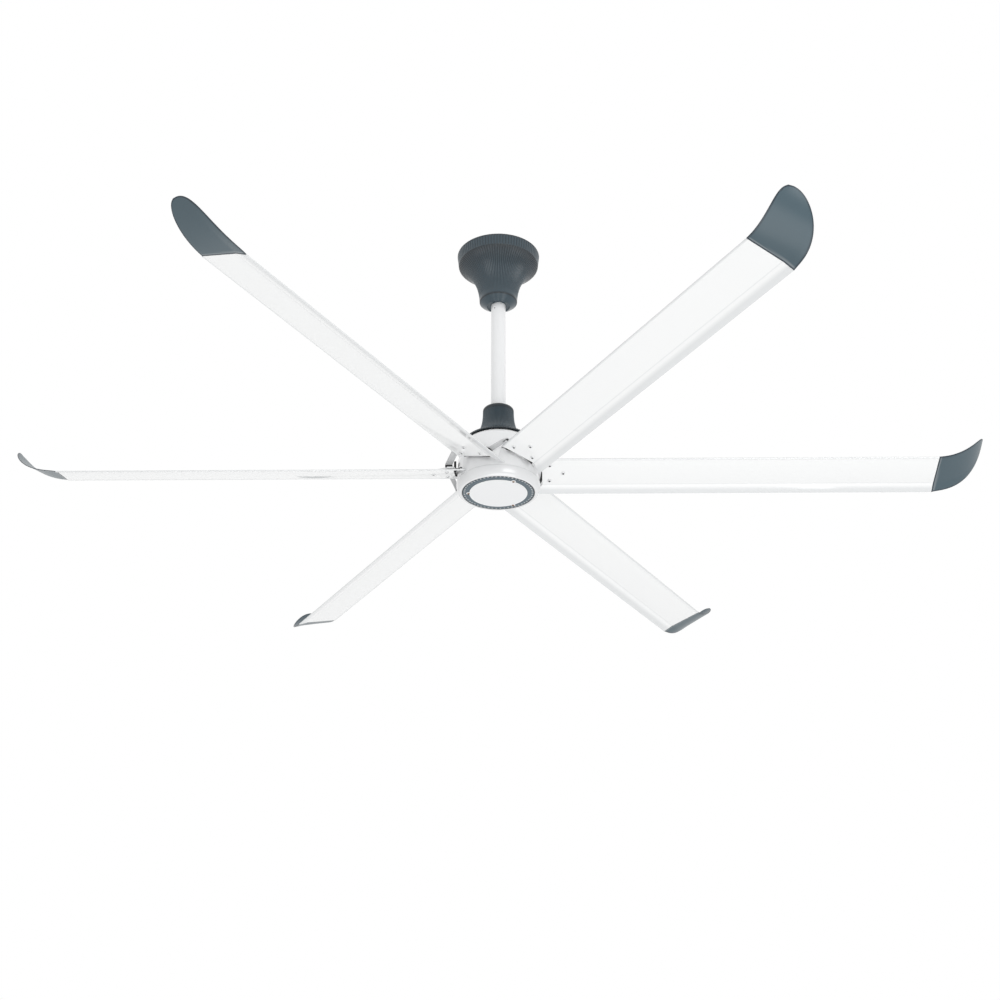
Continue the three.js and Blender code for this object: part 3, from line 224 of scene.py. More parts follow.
class BracketSizes(bpy.types.PropertyGroup):
    """The bracket on top of each blade, its screws and bolt, and the link bar to the next bracket."""

    thickness: length("Thickness", "Thickness of the bracket plate", 0.0045)
    gap: length("Gap", "Gap between seated pieces", 0.0003)
    stem_start: length("Stem start", "Inner end of the stem", 0.078)
    stem_half: length("Stem half width", "Half of the stem's width", 0.026)
    stem_across: length("Stem middle", "Place of the stem's middle, across the blade", -0.0104)
    start: length("Start", "Inner end of the wide part", 0.111)
    width: length("Width", "Length of the wide part along the blade", 0.026)
    leading: length("Leading end", "Leading end of the wide part, across the blade", -0.0651)
    trailing: length("Trailing end", "Trailing end of the wide part, across the blade", 0.0441)
    shoulder: length("Shoulder", "Slope from the stem to the wide part", 0.008)
    nose_radius: length("Nose radius", "Rounding of the nose round the outer screw", 0.013)
    nose_angle: turn("Nose angle", "Half of the nose's arc", 38)
    screw_radius: length("Screw head radius", "Radius of the blade screws' heads", 0.005)
    screw_height: length("Screw head height", "Height of the blade screws' heads", 0.0028)
    link_at: length("Link place", "Inner side of the link bar", 0.113)
    link_width: length("Link width", "Width of the link bar", 0.018)
    link_end: length("Link end", "Trailing end of the link bar, across the blade", 0.0381)
    link_thickness: length("Link thickness", "Thickness of the link bar", 0.003)
    foot_height: length("Foot height", "Height of the link bar's rubber foot", 0.005)
    foot_length: length("Foot length", "Length of the link bar's foot and pad", 0.012)
    foot_reach: length("Foot reach", "How far the foot stands out from under the bar", 0.0008)
    pad_height: length("Pad height", "Height of the link bar's rubber pad", 0.0014)


class Finishes(bpy.types.PropertyGroup):
    """The colours of the fan."""

    blade_paint: paint("Blade paint", "Gloss white of the blades", (247, 248, 248))
    # Painted shade: the darker white on the blades' lips, pressed grooves and panels behind the crease.
    flap_paint: paint("Flap paint", "White of the panel behind a blade's crease", (223, 225, 226))
    rod_paint: paint("Rod paint", "Satin white of rod, brackets and dome", (242, 243, 244))
    housing_paint: paint("Housing paint", "Satin white of the housing's wall", (229, 230, 231))
    # Painted shade: a darker copy of the housing's white, on its ledge and bowl.
    ledge_paint: paint("Ledge paint", "White of the housing's ledge and bowl", (221, 222, 223))
    disc_white: paint("Disc white", "Frosted white of the cover disc", (240, 241, 242))
    cover_slate: paint("Cover slate", "Moulded slate of canopy and bell", (50, 68, 78))
    ring_slate: paint("Ring slate", "Moulded slate of the vent ring", (86, 101, 110))
    tip_slate: paint("Tip slate", "Moulded slate of the upswept tips", (67, 86, 95))
    tip_edge: paint("Tip edge", "Darker edge of the upswept tips", (22, 42, 54))
    # Painted shade: darker slate in the ribs' grooves and along the canopy's and bell's edges; it also
    # darkens the vent ring's outer edge.
    slate_shade: paint("Slate shade", "Darker slate of edges and grooves", (20, 33, 41))
    # Also gives the painted highlight along the tips' root.
    link_grey: paint("Link grey", "Pale grey of the link bars", (192, 193, 194))
    screw_white: paint("Screw white", "Bright plating of the blades' screws", (222, 223, 224))
    # Also painted as the shade in the screws' sockets.
    rubber: paint("Rubber", "Dark rubber of bush, feet and seals", (24, 25, 27))
    zinc: paint("Zinc", "Zinc-plated steel of bolts and screws", (176, 178, 180))
    bronze: paint("Bronze", "Bronze of the disc's screws", (132, 104, 80))
    copper: paint("Copper", "Enamelled copper wire", (176, 100, 58))
    iron: paint("Iron", "Laminations and magnets", (78, 80, 84))
    aluminium: paint("Aluminium", "Cast aluminium of the rotor", (150, 152, 156))


class StageSettings(bpy.types.PropertyGroup):
    """Camera, light and floor."""

    camera_place: FloatVectorProperty(
        name="Camera place",
        description="Where the camera stands",
        default=(0, -3.707, -2.6135),
        unit="LENGTH",
    )
    camera_tilt: turn("Camera tilt", "Turn of the camera about X; 90 degrees looks level", 116.906)
    lens: share("Lens", "Focal length in millimetres, on a 36 mm frame", 60.41)
    shift: share("Shift", "Sideways shift of the view, as a share of its width", 0.00165)
    floor_height: length("Floor height", "Height of the floor, below the ceiling", -6.6)
    floor_width: length("Floor width", "Side of the square floor", 30)
    below: share("Light from below", "Strength of the world's light straight from below", 1.04)
    level: share("Light from the side", "Strength of the world's light from the horizon", 0.70)
    above: share("Light from above", "Strength of the world's light straight from above", 0.86)
    low_lamp: share("Low lamp", "Power of the lamp under the fan, in watts", 68)
    side_lamp: share("Side lamp", "Power of the lamp at the right, in watts", 50)


class FanSettings(bpy.types.PropertyGroup):
    """All settings of the ceiling fan."""

    canopy: PointerProperty(type=CanopySizes)
    bell: PointerProperty(type=BellSizes)
    housing: PointerProperty(type=HousingSizes)
    ring: PointerProperty(type=RingSizes)
    blade: PointerProperty(type=BladeSizes)
    tip: PointerProperty(type=TipSizes)
    bracket: PointerProperty(type=BracketSizes)
    finishes: PointerProperty(type=Finishes)
    stage: PointerProperty(type=StageSettings)


# ---------------------------------------------------------------- outlines


def bezier(points, t):
    """Points of a Bezier curve of any degree, at the shares t of its run."""
    points = [np.asarray(point, float) for point in points]
    t = np.asarray(t, float)[..., None]
    while len(points) > 1:
        points = [a * (1 - t) + b * t for a, b in zip(points, points[1:])]
    return points[0] + 0 * t


def shares(count):
    """Even shares from 0 to 1."""
    return np.linspace(0, 1, count + 1)


def rounded(corners, steps=4, closed=True):
    """Points of an outline whose corners, given as (x, y, radius), are rounded by arcs."""
    points = []
    for i, (x, y, radius) in enumerate(corners):
        corner = Vector((x, y))
        inner = 0 < i < len(corners) - 1 or closed
        if radius == 0 or not inner:
            points.append((x, y))
            continue
        before = (Vector(corners[i - 1][:2]) - corner).normalized()
        after = (Vector(corners[(i + 1) % len(corners)][:2]) - corner).normalized()
        half = before.angle(after) / 2
        reach = radius / math.tan(half)
        centre = corner + (before + after).normalized() * (radius / math.sin(half))
        start = corner + before * reach - centre
        end = corner + after * reach - centre
        first = math.atan2(start.y, start.x)
        sweep = (math.atan2(end.y, end.x) - first + math.pi) % math.tau - math.pi
        for part in shares(steps):
            angle = first + sweep * part
            points.append((centre.x + radius * math.cos(angle), centre.y + radius * math.sin(angle)))
    return points


def inside(outline, wall):
    """An outline moved inwards by a wall's thickness; its solid side is on the right when walked down."""
    points = np.asarray(outline, float)
    along = np.gradient(points, axis=0)
    along /= np.linalg.norm(along, axis=1)[:, None]
    return points + np.stack([along[:, 1], -along[:, 0]], axis=1) * wall


def radius_at(outline, height):
    """The radius of an outline that is walked downwards, at a height."""
    points = np.asarray(outline, float)[::-1]
    return np.interp(height, points[:, 1], points[:, 0])


# ---------------------------------------------------------------- meshes

MERGE_DISTANCE = 1e-7
FLAT_ANGLE = math.radians(1)
SHARP_ANGLE = math.radians(30)
BEVEL_ANGLE = math.radians(25)
BEVEL_STEPS = 2


def skin(name, points, wrap_rows=False, caps=False):
    """A mesh whose faces join each row of points to the next. Caps join the opposite points of an end row."""
    rows, columns = points.shape[:2]
    index = np.arange(rows * columns).reshape(rows, columns)
    if wrap_rows:
        index = np.vstack([index, index[:1]])
    index = np.hstack([index, index[:, :1]])
    quads = np.stack([index[:-1, :-1], index[:-1, 1:], index[1:, 1:], index[1:, :-1]], axis=-1)
    faces = quads.reshape(-1, 4).tolist()
    if caps:
        for row in (index[0], index[rows - 1]):
            facing = range(columns // 2 - 1)
            faces += [[row[j], row[j + 1], row[columns - 2 - j], row[columns - 1 - j]] for j in facing]
    mesh = bpy.data.meshes.new(name)
    mesh.from_pydata(points.reshape(-1, 3).tolist(), [], faces)
    return mesh


def full_turn(steps):
    """Even angles round the Z axis."""
    return np.arange(steps) * (math.tau / steps)


def walls_round(rows, angles):
    """Points about Z, in rows of (radii, heights above the blade plane), each one value or one a column."""
    points = []
    for radii, heights in rows:
        radii = radii + 0 * angles
        up = HUB_HEIGHT + heights + 0 * angles
        points.append(np.stack([radii * np.cos(angles), radii * np.sin(angles), up], axis=-1))
    return np.array(points)


def turned(profile, steps):
    """Points of a round shell about Z, in rows, from a profile of (radius, height above the blade plane)."""
    return walls_round(profile, full_turn(steps))


def bevel_edges(made, bevel):
    """Bevels the sharp edges of a bmesh and turns its faces outwards."""
    bmesh.ops.recalc_face_normals(made, faces=made.faces)
    sharp = [edge for edge in made.edges if edge.calc_face_angle(0) > BEVEL_ANGLE]
    settings = {"segments": BEVEL_STEPS, "profile": 0.5, "affect": "EDGES", "clamp_overlap": True}
    bmesh.ops.bevel(made, geom=sharp, offset=bevel, **settings)
    return made


def plate(outline, low, high, bevel):
    """A bmesh plate with bevelled edges, from an outline in X and Y."""
    made = bmesh.new()
    floor = made.faces.new([made.verts.new((x, y, low)) for x, y in outline])
    lifted = bmesh.ops.extrude_face_region(made, geom=[floor])["geom"]
    corners = [item for item in lifted if isinstance(item, bmesh.types.BMVert)]
    bmesh.ops.translate(made, vec=(0, 0, high - low), verts=corners)
    return bevel_edges(made, bevel)


def hull(points, bevel):
    """A bmesh solid between points, with bevelled edges."""
    made = bmesh.new()
    for point in points:
        made.verts.new(point)
    bmesh.ops.convex_hull(made, input=made.verts)
    bmesh.ops.dissolve_limit(made, angle_limit=FLAT_ANGLE, verts=made.verts, edges=made.edges)
    return bevel_edges(made, bevel)


def solid_of(*meshes):
    """One bmesh of several meshes."""
    made = bmesh.new()
    for mesh in meshes:
        made.from_mesh(mesh)
    return made


def mesh_of(name, *solids):
    """One mesh from several bmesh solids, which it uses up."""
    mesh = bpy.data.meshes.new(name)
    joined = bmesh.new()
    for solid in solids:
        part = bpy.data.meshes.new(name)
        solid.to_mesh(part)
        solid.free()
        joined.from_mesh(part)
        bpy.data.meshes.remove(part)
    joined.to_mesh(mesh)
    joined.free()
    return mesh


def outwards(mesh):
    """Merges a mesh's doubles and turns its faces outwards."""
    made = solid_of(mesh)
    bmesh.ops.remove_doubles(made, verts=made.verts, dist=MERGE_DISTANCE)
    bmesh.ops.dissolve_degenerate(made, edges=made.edges, dist=MERGE_DISTANCE)
    bmesh.ops.recalc_face_normals(made, faces=made.faces)
    made.to_mesh(mesh)
    made.free()
    return mesh


def masked(mesh, label, values):
    """Gives each point of a mesh a value from 0 to 1, which its finish reads."""
    attribute = mesh.attributes.new(label, "FLOAT", "POINT")
    attribute.data.foreach_set("value", np.asarray(values, np.float32).ravel())
    return mesh


def moved(mesh, matrix):
    """A mesh after its place is applied."""
    mesh.transform(matrix)
    return mesh


def put(name, mesh, *finishes):
    """A new object at the origin, with these finishes on its mesh."""
    for made in finishes:
        mesh.materials.append(made)
    piece = bpy.data.objects.new(name, mesh)
    bpy.context.scene.collection.objects.link(piece)
    return piece


def settled(piece):
    """Turns the result of a piece's modifiers into its plain mesh, shaded smooth up to its sharp edges."""
    graph = bpy.context.evaluated_depsgraph_get()
    evaluated = piece.evaluated_get(graph)
    result = bpy.data.meshes.new_from_object(evaluated, preserve_all_data_layers=True, depsgraph=graph)
    piece.modifiers.clear()
    piece.data = result
    result.name = piece.name
    result.shade_smooth()
    result.set_sharp_from_angle(angle=SHARP_ANGLE)
    return piece


def cut(piece, cutter):
    """Cuts an object out of a piece and removes that object."""
    cutting = piece.modifiers.new("Cut", "BOOLEAN")
    cutting.object = cutter
    cutting.operation = "DIFFERENCE"
    cutting.solver = "EXACT"
    settled(piece)
    bpy.data.objects.remove(cutter)
    return piece


def hand_over(piece, body, slot, *nodes):
    """Hangs a finished piece on the body that it rides on and hides the nodes that it stands for. The slot is
    not used.
    """
    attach(piece, body)
    if nodes:
        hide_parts(*nodes)


# ---------------------------------------------------------------- node trees

SOCKET_KINDS = {int: "Int", float: "Float", type(None): "Object", 3: "Vector", 4: "Color"}


def add(tree, kind, inputs=None, **settings):
    """A new node, with its settings and its inputs set or linked."""
    node = tree.nodes.new(kind)
    for name, value in settings.items():
        setattr(node, name, value)
    for key, value in (inputs or {}).items():
        if isinstance(value, bpy.types.NodeSocket):
            tree.links.new(value, node.inputs[key])
        else:
            node.inputs[key].default_value = value
    return node


def output(tree, kind, inputs=None, **settings):
    """The first output of a new node."""
    return add(tree, kind, inputs, **settings).outputs[0]


def maths(tree, operation, first, second=0.0):
    """The output of a math node."""
    return output(tree, "ShaderNodeMath", {0: first, 1: second}, operation=operation)


def vectors(tree, operation, inputs):
    """The outputs of a vector math node."""
    return add(tree, "ShaderNodeVectorMath", inputs, operation=operation).outputs


def add_inputs(tree, inputs):
    """Gives a tree named inputs, each of the kind that its default has."""
    for label, default in inputs.items():
        kind = SOCKET_KINDS[len(default) if isinstance(default, tuple) else type(default)]
        socket = tree.interface.new_socket(label, in_out="INPUT", socket_type="NodeSocket" + kind)
        if default is not None:
            socket.default_value = default


def geometry_tree(name, inputs):
    """A Geometry Nodes tree with named inputs, and the outputs of its input node."""
    tree = bpy.data.node_groups.new(name, "GeometryNodeTree")
    tree.interface.new_socket("Geometry", in_out="INPUT", socket_type="NodeSocketGeometry")
    add_inputs(tree, inputs)
    tree.interface.new_socket("Finish", in_out="INPUT", socket_type="NodeSocketMaterial")
    tree.interface.new_socket("Geometry", in_out="OUTPUT", socket_type="NodeSocketGeometry")
    return tree, add(tree, "NodeGroupInput").outputs


def end_tree(tree, given, result):
    """Ends a tree in Realize Instances and Set Material."""
    real = output(tree, "GeometryNodeRealizeInstances", {"Geometry": result})
    finished = output(tree, "GeometryNodeSetMaterial", {"Geometry": real, "Material": given["Finish"]})
    add(tree, "NodeGroupOutput", {"Geometry": finished})
    return tree


def shared_group(name, make):
    """A node group that is built once."""
    return bpy.data.node_groups.get(name) or make()


def with_nodes(piece, tree, values):
    """Runs a tree on a piece with these input values, and returns the piece as a plain mesh."""
    modifier = piece.modifiers.new(tree.name, "NODES")
    modifier.node_group = tree
    for item in tree.interface.items_tree:
        if item.in_out == "INPUT" and item.name in values:
            modifier[item.identifier] = values[item.name]
    return settled(piece)


def ribbed_shell_tree():
    """Sinks grooves into a turned shell, where its rib_mask attribute is above 0, and stores how deep each
    point lies in a groove as the groove attribute, on which the finish paints shade in the grooves.
    """
    tree, given = geometry_tree("Ribbed shell", {"Rib Count": 88, "Rib Depth": 0.001})
    place = add(tree, "ShaderNodeSeparateXYZ", {0: output(tree, "GeometryNodeInputPosition")}).outputs
    angle = maths(tree, "ARCTAN2", place["Y"], place["X"])
    phase = maths(tree, "MULTIPLY", angle, maths(tree, "DIVIDE", given["Rib Count"], 2.0))
    crest = maths(tree, "ABSOLUTE", maths(tree, "COSINE", phase))
    groove = maths(tree, "SUBTRACT", crest, 1.0)
    mask = add(tree, "GeometryNodeInputNamedAttribute", {"Name": "rib_mask"}, data_type="FLOAT")
    mask = mask.outputs["Attribute"]
    depth = maths(tree, "MULTIPLY", groove, maths(tree, "MULTIPLY", mask, given["Rib Depth"]))
    flat = output(tree, "ShaderNodeCombineXYZ", {"X": place["X"], "Y": place["Y"]})
    away = vectors(tree, "NORMALIZE", {0: flat})[0]
    shift = vectors(tree, "SCALE", {0: away, "Scale": depth})[0]
    groove_shade = maths(tree, "MULTIPLY", groove, maths(tree, "MULTIPLY", mask, -1.0))
    stored = {"Geometry": given["Geometry"], "Name": "groove", "Value": groove_shade}
    marked = output(tree, "GeometryNodeStoreNamedAttribute", stored, data_type="FLOAT", domain="POINT")
    ribs = output(tree, "GeometryNodeSetPosition", {"Geometry": marked, "Offset": shift})
    return end_tree(tree, given, ribs)


def instanced(tree, points, instance, rotation):
    """Nodes that set an instance on each point, with a rotation given as angles."""
    rotation = output(tree, "FunctionNodeEulerToRotation", {0: rotation})
    inputs = {"Points": points, "Instance": instance, "Rotation": rotation}
    return output(tree, "GeometryNodeInstanceOnPoints", inputs)


def round_the_hub(tree, geometry, count):
    """Nodes that repeat a geometry evenly about the Z axis."""
    points = output(tree, "GeometryNodePoints", {"Count": count})
    step = maths(tree, "DIVIDE", math.tau, count)
    angle = maths(tree, "MULTIPLY", output(tree, "GeometryNodeInputIndex"), step)
    return instanced(tree, points, geometry, output(tree, "ShaderNodeCombineXYZ", {"Z": angle}))


def hub_ring_tree():
    """Repeats one piece round the hub."""
    tree, given = geometry_tree("Round the hub", {"Count": BLADE_COUNT})
    return end_tree(tree, given, round_the_hub(tree, given["Geometry"], given["Count"]))


def fasteners_tree():
    """Sets a fastener at each point of a mesh, turned as asked, and repeats them round the hub."""
    tree, given = geometry_tree("Fasteners", {"Fastener": None, "Turn": (0, 0, 0), "Count": BLADE_COUNT})
    fastener = add(tree, "GeometryNodeObjectInfo", {"Object": given["Fastener"]}).outputs["Geometry"]
    points = output(tree, "GeometryNodeMeshToPoints", {"Mesh": given["Geometry"]})
    placed = instanced(tree, points, fastener, given["Turn"])
    return end_tree(tree, given, round_the_hub(tree, placed, given["Count"]))


def perforated_ring_tree():
    """Cuts a circle of triangular perforations through a ring."""
    sizes = {"Circle Radius": 0.08, "Perforation Size": 0.003, "Depth": 0.01, "Height": 0.0}
    tree, given = geometry_tree("Perforated ring", {"Perforations": 48, **sizes})
    size = given["Perforation Size"]
    prism = {"Vertices": 3, "Radius Top": size, "Radius Bottom": size, "Depth": given["Depth"]}
    cutter = add(tree, "GeometryNodeMeshCone", prism).outputs["Mesh"]
    place = output(tree, "ShaderNodeCombineXYZ", {"X": given["Circle Radius"], "Z": given["Height"]})
    placed = output(tree, "GeometryNodeTransform", {"Geometry": cutter, "Translation": place})
    cutters = round_the_hub(tree, placed, given["Perforations"])
    real = output(tree, "GeometryNodeRealizeInstances", {"Geometry": cutters})
    both = {"Mesh 1": given["Geometry"], "Mesh 2": real}
    ring = add(tree, "GeometryNodeMeshBoolean", both, operation="DIFFERENCE").outputs["Mesh"]
    return end_tree(tree, given, ring)


# ---------------------------------------------------------------- finishes


def shader_group(name, inputs, outputs):
    """A shader node group with named inputs and outputs, and the outputs of its input node."""
    tree = bpy.data.node_groups.new(name, "ShaderNodeTree")
    add_inputs(tree, inputs)
    for label, kind in outputs.items():
        tree.interface.new_socket(label, in_out="OUTPUT", socket_type="NodeSocket" + kind)
    return tree, add(tree, "NodeGroupInput").outputs


def noise(tree, place, scale, detail):
    """The value of a noise texture."""
    return add(tree, "ShaderNodeTexNoise", {"Vector": place, "Scale": scale, "Detail": detail}).outputs["Fac"]


def object_place(tree):
    """The place of a shaded point in its object's own frame."""
    return add(tree, "ShaderNodeTexCoord").outputs["Object"]


def unevenness_group():
    """Slow changes of tone and gloss, and a fine grain, as any painted or moulded surface has."""
    looks = {"Colour": (0.8, 0.8, 0.8, 1), "Tone": 0.03, "Roughness": 0.4, "Gloss Change": 0.06}
    inputs = {**looks, "Patch Scale": 9.0, "Grain Scale": 900.0}
    outputs = {"Colour": "Color", "Roughness": "Float", "Height": "Float"}
    tree, given = shader_group("Unevenness", inputs, outputs)
    place = object_place(tree)
    patches = noise(tree, place, given["Patch Scale"], 3.0)
    grain = noise(tree, place, given["Grain Scale"], 2.0)
    swing = maths(tree, "MULTIPLY", maths(tree, "SUBTRACT", patches, 0.5), 2.0)
    value = maths(tree, "ADD", 1.0, maths(tree, "MULTIPLY", swing, given["Tone"]))
    toned = output(tree, "ShaderNodeHueSaturation", {"Value": value, "Color": given["Colour"]})
    gloss = maths(tree, "ADD", given["Roughness"], maths(tree, "MULTIPLY", swing, given["Gloss Change"]))
    add(tree, "NodeGroupOutput", {"Colour": toned, "Roughness": gloss, "Height": grain})
    return tree


def brushed_group():
    """Fine lines along one direction, as brushing or turning leaves them."""
    tree, given = shader_group("Brushed", {"Stretch": (1, 1, 40), "Scale": 120.0}, {"Value": "Float"})
    drawn = vectors(tree, "MULTIPLY", {0: object_place(tree), 1: given["Stretch"]})[0]
    add(tree, "NodeGroupOutput", {"Value": noise(tree, drawn, given["Scale"], 4.0)})
    return tree


def grouped(tree, group, values):
    """A node group placed in a material with its own values."""
    node = tree.nodes.new("ShaderNodeGroup")
    node.node_tree = group
    for label, value in values.items():
        node.inputs[label].default_value = value
    return node.outputs


def node_of(tree, kind):
    """A tree's one node of a kind."""
    return next(node for node in tree.nodes if node.type == kind)


def relief(tree, height, distance, **normal):
    """The normal of a bump node."""
    inputs = {"Strength": 1.0, "Distance": distance, "Height": height, **normal}
    return output(tree, "ShaderNodeBump", inputs)


def surface(name, colour, roughness, grain=0.00002, tone=0.03, patch=9, fineness=900, gloss=0.05, **sockets):
    """A material of one finish, with uneven tone and gloss and a fine grain. Sockets set the shader's own."""
    material = bpy.data.materials.new(name)
    material.use_nodes = True
    tree = material.node_tree
    tree.nodes.clear()
    values = {"Colour": (*colour, 1), "Tone": tone, "Roughness": roughness, "Gloss Change": gloss}
    values |= {"Patch Scale": patch, "Grain Scale": fineness}
    uneven = grouped(tree, shared_group("Unevenness", unevenness_group), values)
    inputs = {"Base Color": uneven["Colour"], "Roughness": uneven["Roughness"]}
    inputs |= {"Normal": relief(tree, uneven["Height"], grain)}
    inputs |= {label.replace("_", " "): value for label, value in sockets.items()}
    shader = output(tree, "ShaderNodeBsdfPrincipled", inputs)
    add(tree, "ShaderNodeOutputMaterial", {"Surface": shader})
    return material


def mixed_in(material, mask, colour):
    """Mixes another colour into a material by a mask."""
    tree = material.node_tree
    base = node_of(tree, "BSDF_PRINCIPLED").inputs["Base Color"]
    inputs = {"Factor": mask, 6: base.links[0].from_socket, 7: (*colour, 1)}
    mixed = add(tree, "ShaderNodeMix", inputs, data_type="RGBA").outputs[2]
    tree.links.new(mixed, base)


def shaded_where(material, attribute, colour, strength):
    """Mixes another colour into a material by a vertex attribute."""
    tree = material.node_tree
    mask = add(tree, "ShaderNodeAttribute", attribute_name=attribute, attribute_type="GEOMETRY")
    mixed_in(material, maths(tree, "MULTIPLY", mask.outputs["Fac"], strength), colour)


def shaded_beyond(material, colour, radius, low_radius=None, low_height=0.0):
    """Mixes another colour into a material beyond a radius about Z, or another radius below a height."""
    tree = material.node_tree
    place = add(tree, "ShaderNodeSeparateXYZ", {0: object_place(tree)}).outputs
    flat = output(tree, "ShaderNodeCombineXYZ", {"X": place["X"], "Y": place["Y"]})
    reach = vectors(tree, "LENGTH", {0: flat})["Value"]
    if low_radius is not None:
        low = maths(tree, "LESS_THAN", place["Z"], low_height)
        radius = maths(tree, "SUBTRACT", radius, maths(tree, "MULTIPLY", low, radius - low_radius))
    mixed_in(material, maths(tree, "GREATER_THAN", reach, radius), colour)


def lined(material, stretch, scale, depth):
    """Adds brushed lines to a material's roughness and relief."""
    tree = material.node_tree
    normal, rough = (node_of(tree, "BSDF_PRINCIPLED").inputs[label] for label in ("Normal", "Roughness"))
    values = {"Stretch": stretch, "Scale": scale}
    lines = grouped(tree, shared_group("Brushed", brushed_group), values)["Value"]
    tree.links.new(relief(tree, lines, depth, Normal=normal.links[0].from_socket), normal)
    swing = maths(tree, "MULTIPLY", maths(tree, "SUBTRACT", lines, 0.5), LINE_GLOSS)
    tree.links.new(maths(tree, "ADD", rough.links[0].from_socket, swing), rough)


CLEAR_COAT = {"Coat_Weight": 1.0}
FINISHES = {
    "Blade paint": {
        "roughness": 0.35, "grain": 5e-7, "tone": 0.006, "patch": 5, "fineness": 500, "gloss": 0.01,
        "Coat_Roughness": 0.05, "Coat_IOR": 2.0, **CLEAR_COAT,
    },
    "Housing paint": {
        "roughness": 0.34, "grain": 8e-6, "tone": 0.008, "patch": 12, "fineness": 700,
        "Coat_Roughness": 0.13, "Coat_IOR": 1.8, **CLEAR_COAT,
    },
    "Rod paint": {
        "roughness": 0.3, "grain": 8e-6, "tone": 0.008, "patch": 14, "fineness": 700,
        "Coat_Roughness": 0.08, "Coat_IOR": 1.7, **CLEAR_COAT,
    },
    "Cover slate": {
        "roughness": 0.3, "grain": 6e-6, "tone": 0.04, "patch": 14, "fineness": 1100,
        "Coat_Roughness": 0.12, "Coat_Weight": 0.25,
    },
    "Disc white": {"roughness": 0.5, "tone": 0.006, "patch": 12},
    "Ring slate": {"roughness": 0.46, "grain": 3e-5, "tone": 0.05, "patch": 18, "fineness": 1100},
    "Tip slate": {"roughness": 0.3, "grain": 1e-5, "fineness": 1000},
    "Link grey": {"roughness": 0.4, "tone": 0.04, "patch": 30},
    "Rubber": {"roughness": 0.7, "grain": 6e-5, "tone": 0.12, "patch": 60, "fineness": 1500},
    "Screw white": {"roughness": 0.3, "grain": 1e-5, "tone": 0.04, "patch": 90, "Metallic": 0.4},
    "Zinc": {"roughness": 0.34, "tone": 0.08, "patch": 90, "Metallic": 0.9},
    "Bronze": {"roughness": 0.38, "tone": 0.10, "patch": 120, "Metallic": 0.85},
    "Copper": {"roughness": 0.35, "tone": 0.10, "patch": 60, "Metallic": 0.7},
    "Iron": {"roughness": 0.5, "tone": 0.08, "patch": 60, "Metallic": 0.7},
    "Aluminium": {
        "roughness": 0.5, "grain": 0.00012, "tone": 0.06, "patch": 40, "fineness": 700, "Metallic": 0.85,
    },
}
# The masks that a finish shows, each with the colour under it and its strength.
SHADES = {
    # The blades' painted shade on the lip, the groove and the panel behind the crease.
    "Blade paint": [("shade", "flap_paint", 1.0)],
    # Painted shade in the slate ribs' grooves and along the canopy's and bell's edges.
    "Cover slate": [("groove", "slate_shade", 0.9), ("rim", "slate_shade", 1.0)],
    # A painted highlight along the tips' root, in the link bars' pale grey; the rim mask darkens their edges.
    "Tip slate": [("bead", "link_grey", 0.35), ("rim", "tip_edge", 1.0)],
    # Painted shade in the screws' sockets, in the rubber's dark.
    "Screw white": [("recess", "rubber", 1.0)],
    "Bronze": [("recess", "rubber", 1.0)],
}
# Wound or turned lines, as their stretch, scale and depth, and how much they change the gloss.
LINES = {"Copper": ((1, 1, 0.05), 1200, 0.0003), "Iron": ((0.02, 0.02, 1), 2200, 0.0001)}
LINE_GLOSS = 0.25
# Where the painted shade on the housing's ledge and bowl starts, outside the wall's radius or, below the
# waist, the lip's.
LEDGE_EDGE = 0.0008
BOWL_EDGE = 0.0035


def finish(name):
    """A material by its finish's name, made when it is first asked for."""
    made = bpy.data.materials.get(name)
    if made:
        return made
    fan = bpy.context.scene.ceiling_fan
    colours, ring, housing = fan.finishes, fan.ring, fan.housing
    made = surface(name, getattr(colours, name.lower().replace(" ", "_")), **FINISHES[name])
    for attribute, colour, strength in SHADES.get(name, []):
        shaded_where(made, attribute, getattr(colours, colour), strength)
    if name in LINES:
        lined(made, *LINES[name])
    bowl = (housing.lip_radius + BOWL_EDGE, HUB_HEIGHT + housing.waist)
    beyond = {
        # The disc's rim gets a painted highlight in the blades' white.
        "Disc white": (colours.blade_paint, ring.disc_radius - ring.disc_rim),
        "Ring slate": (colours.slate_shade, ring.radius - ring.edge),
        # The housing's ledge and bowl get painted shade.
        "Housing paint": (colours.ledge_paint, housing.wall_radius + LEDGE_EDGE, *bowl),
    }
    if name in beyond:
        shaded_beyond(made, *beyond[name])
    return made


def round_hub(name, mesh, paint_name, slot, *nodes):
    """Repeats a blade's piece round the hub and hands it over with its finish."""
    values = {"Count": BLADE_COUNT, "Finish": finish(paint_name)}
    piece = with_nodes(put(name, mesh), shared_group("Round the hub", hub_ring_tree), values)
    hand_over(piece, "rotor", slot, *nodes)


def each(kind):
    """The nodes of a kind of piece that every blade has."""
    return [node.replace("blade", kind) for node in BLADE_NODES]


# ---------------------------------------------------------------- canopy, rod and bell

BAND_SHARES = [0, 0.06, 0.1, 0.14, 0.5, 0.9, 0.93, 0.97, 1]
CONE_SHARES = [0, 0.08, 0.15, 0.5, 1]
# The flare's control points, as shares of its width and of its height.
CANOPY_FLARE = [(1, 0), (0.405, 0.178), (0.048, 0.496), (0, 1)]
BELL_FLARE = [(0, 0), (0.006, 0.42), (0.097, 0.85)]
# How deep the ribs are, and how much painted shade darkens the shell at the flare's start just below the
# band, by the share of the way from the rim to the neck.
CANOPY_RIBS = {0: 0, 0.012: 0, 0.02: 0.8, 0.19: 0.8, 0.195: 0, 0.205: 0, 0.21: 1, 0.5: 0.8, 0.9: 0.4, 0.97: 0}
CANOPY_EDGE_SHADE = {0.195: 0, 0.205: 1, 0.27: 0.6, 0.5: 0}
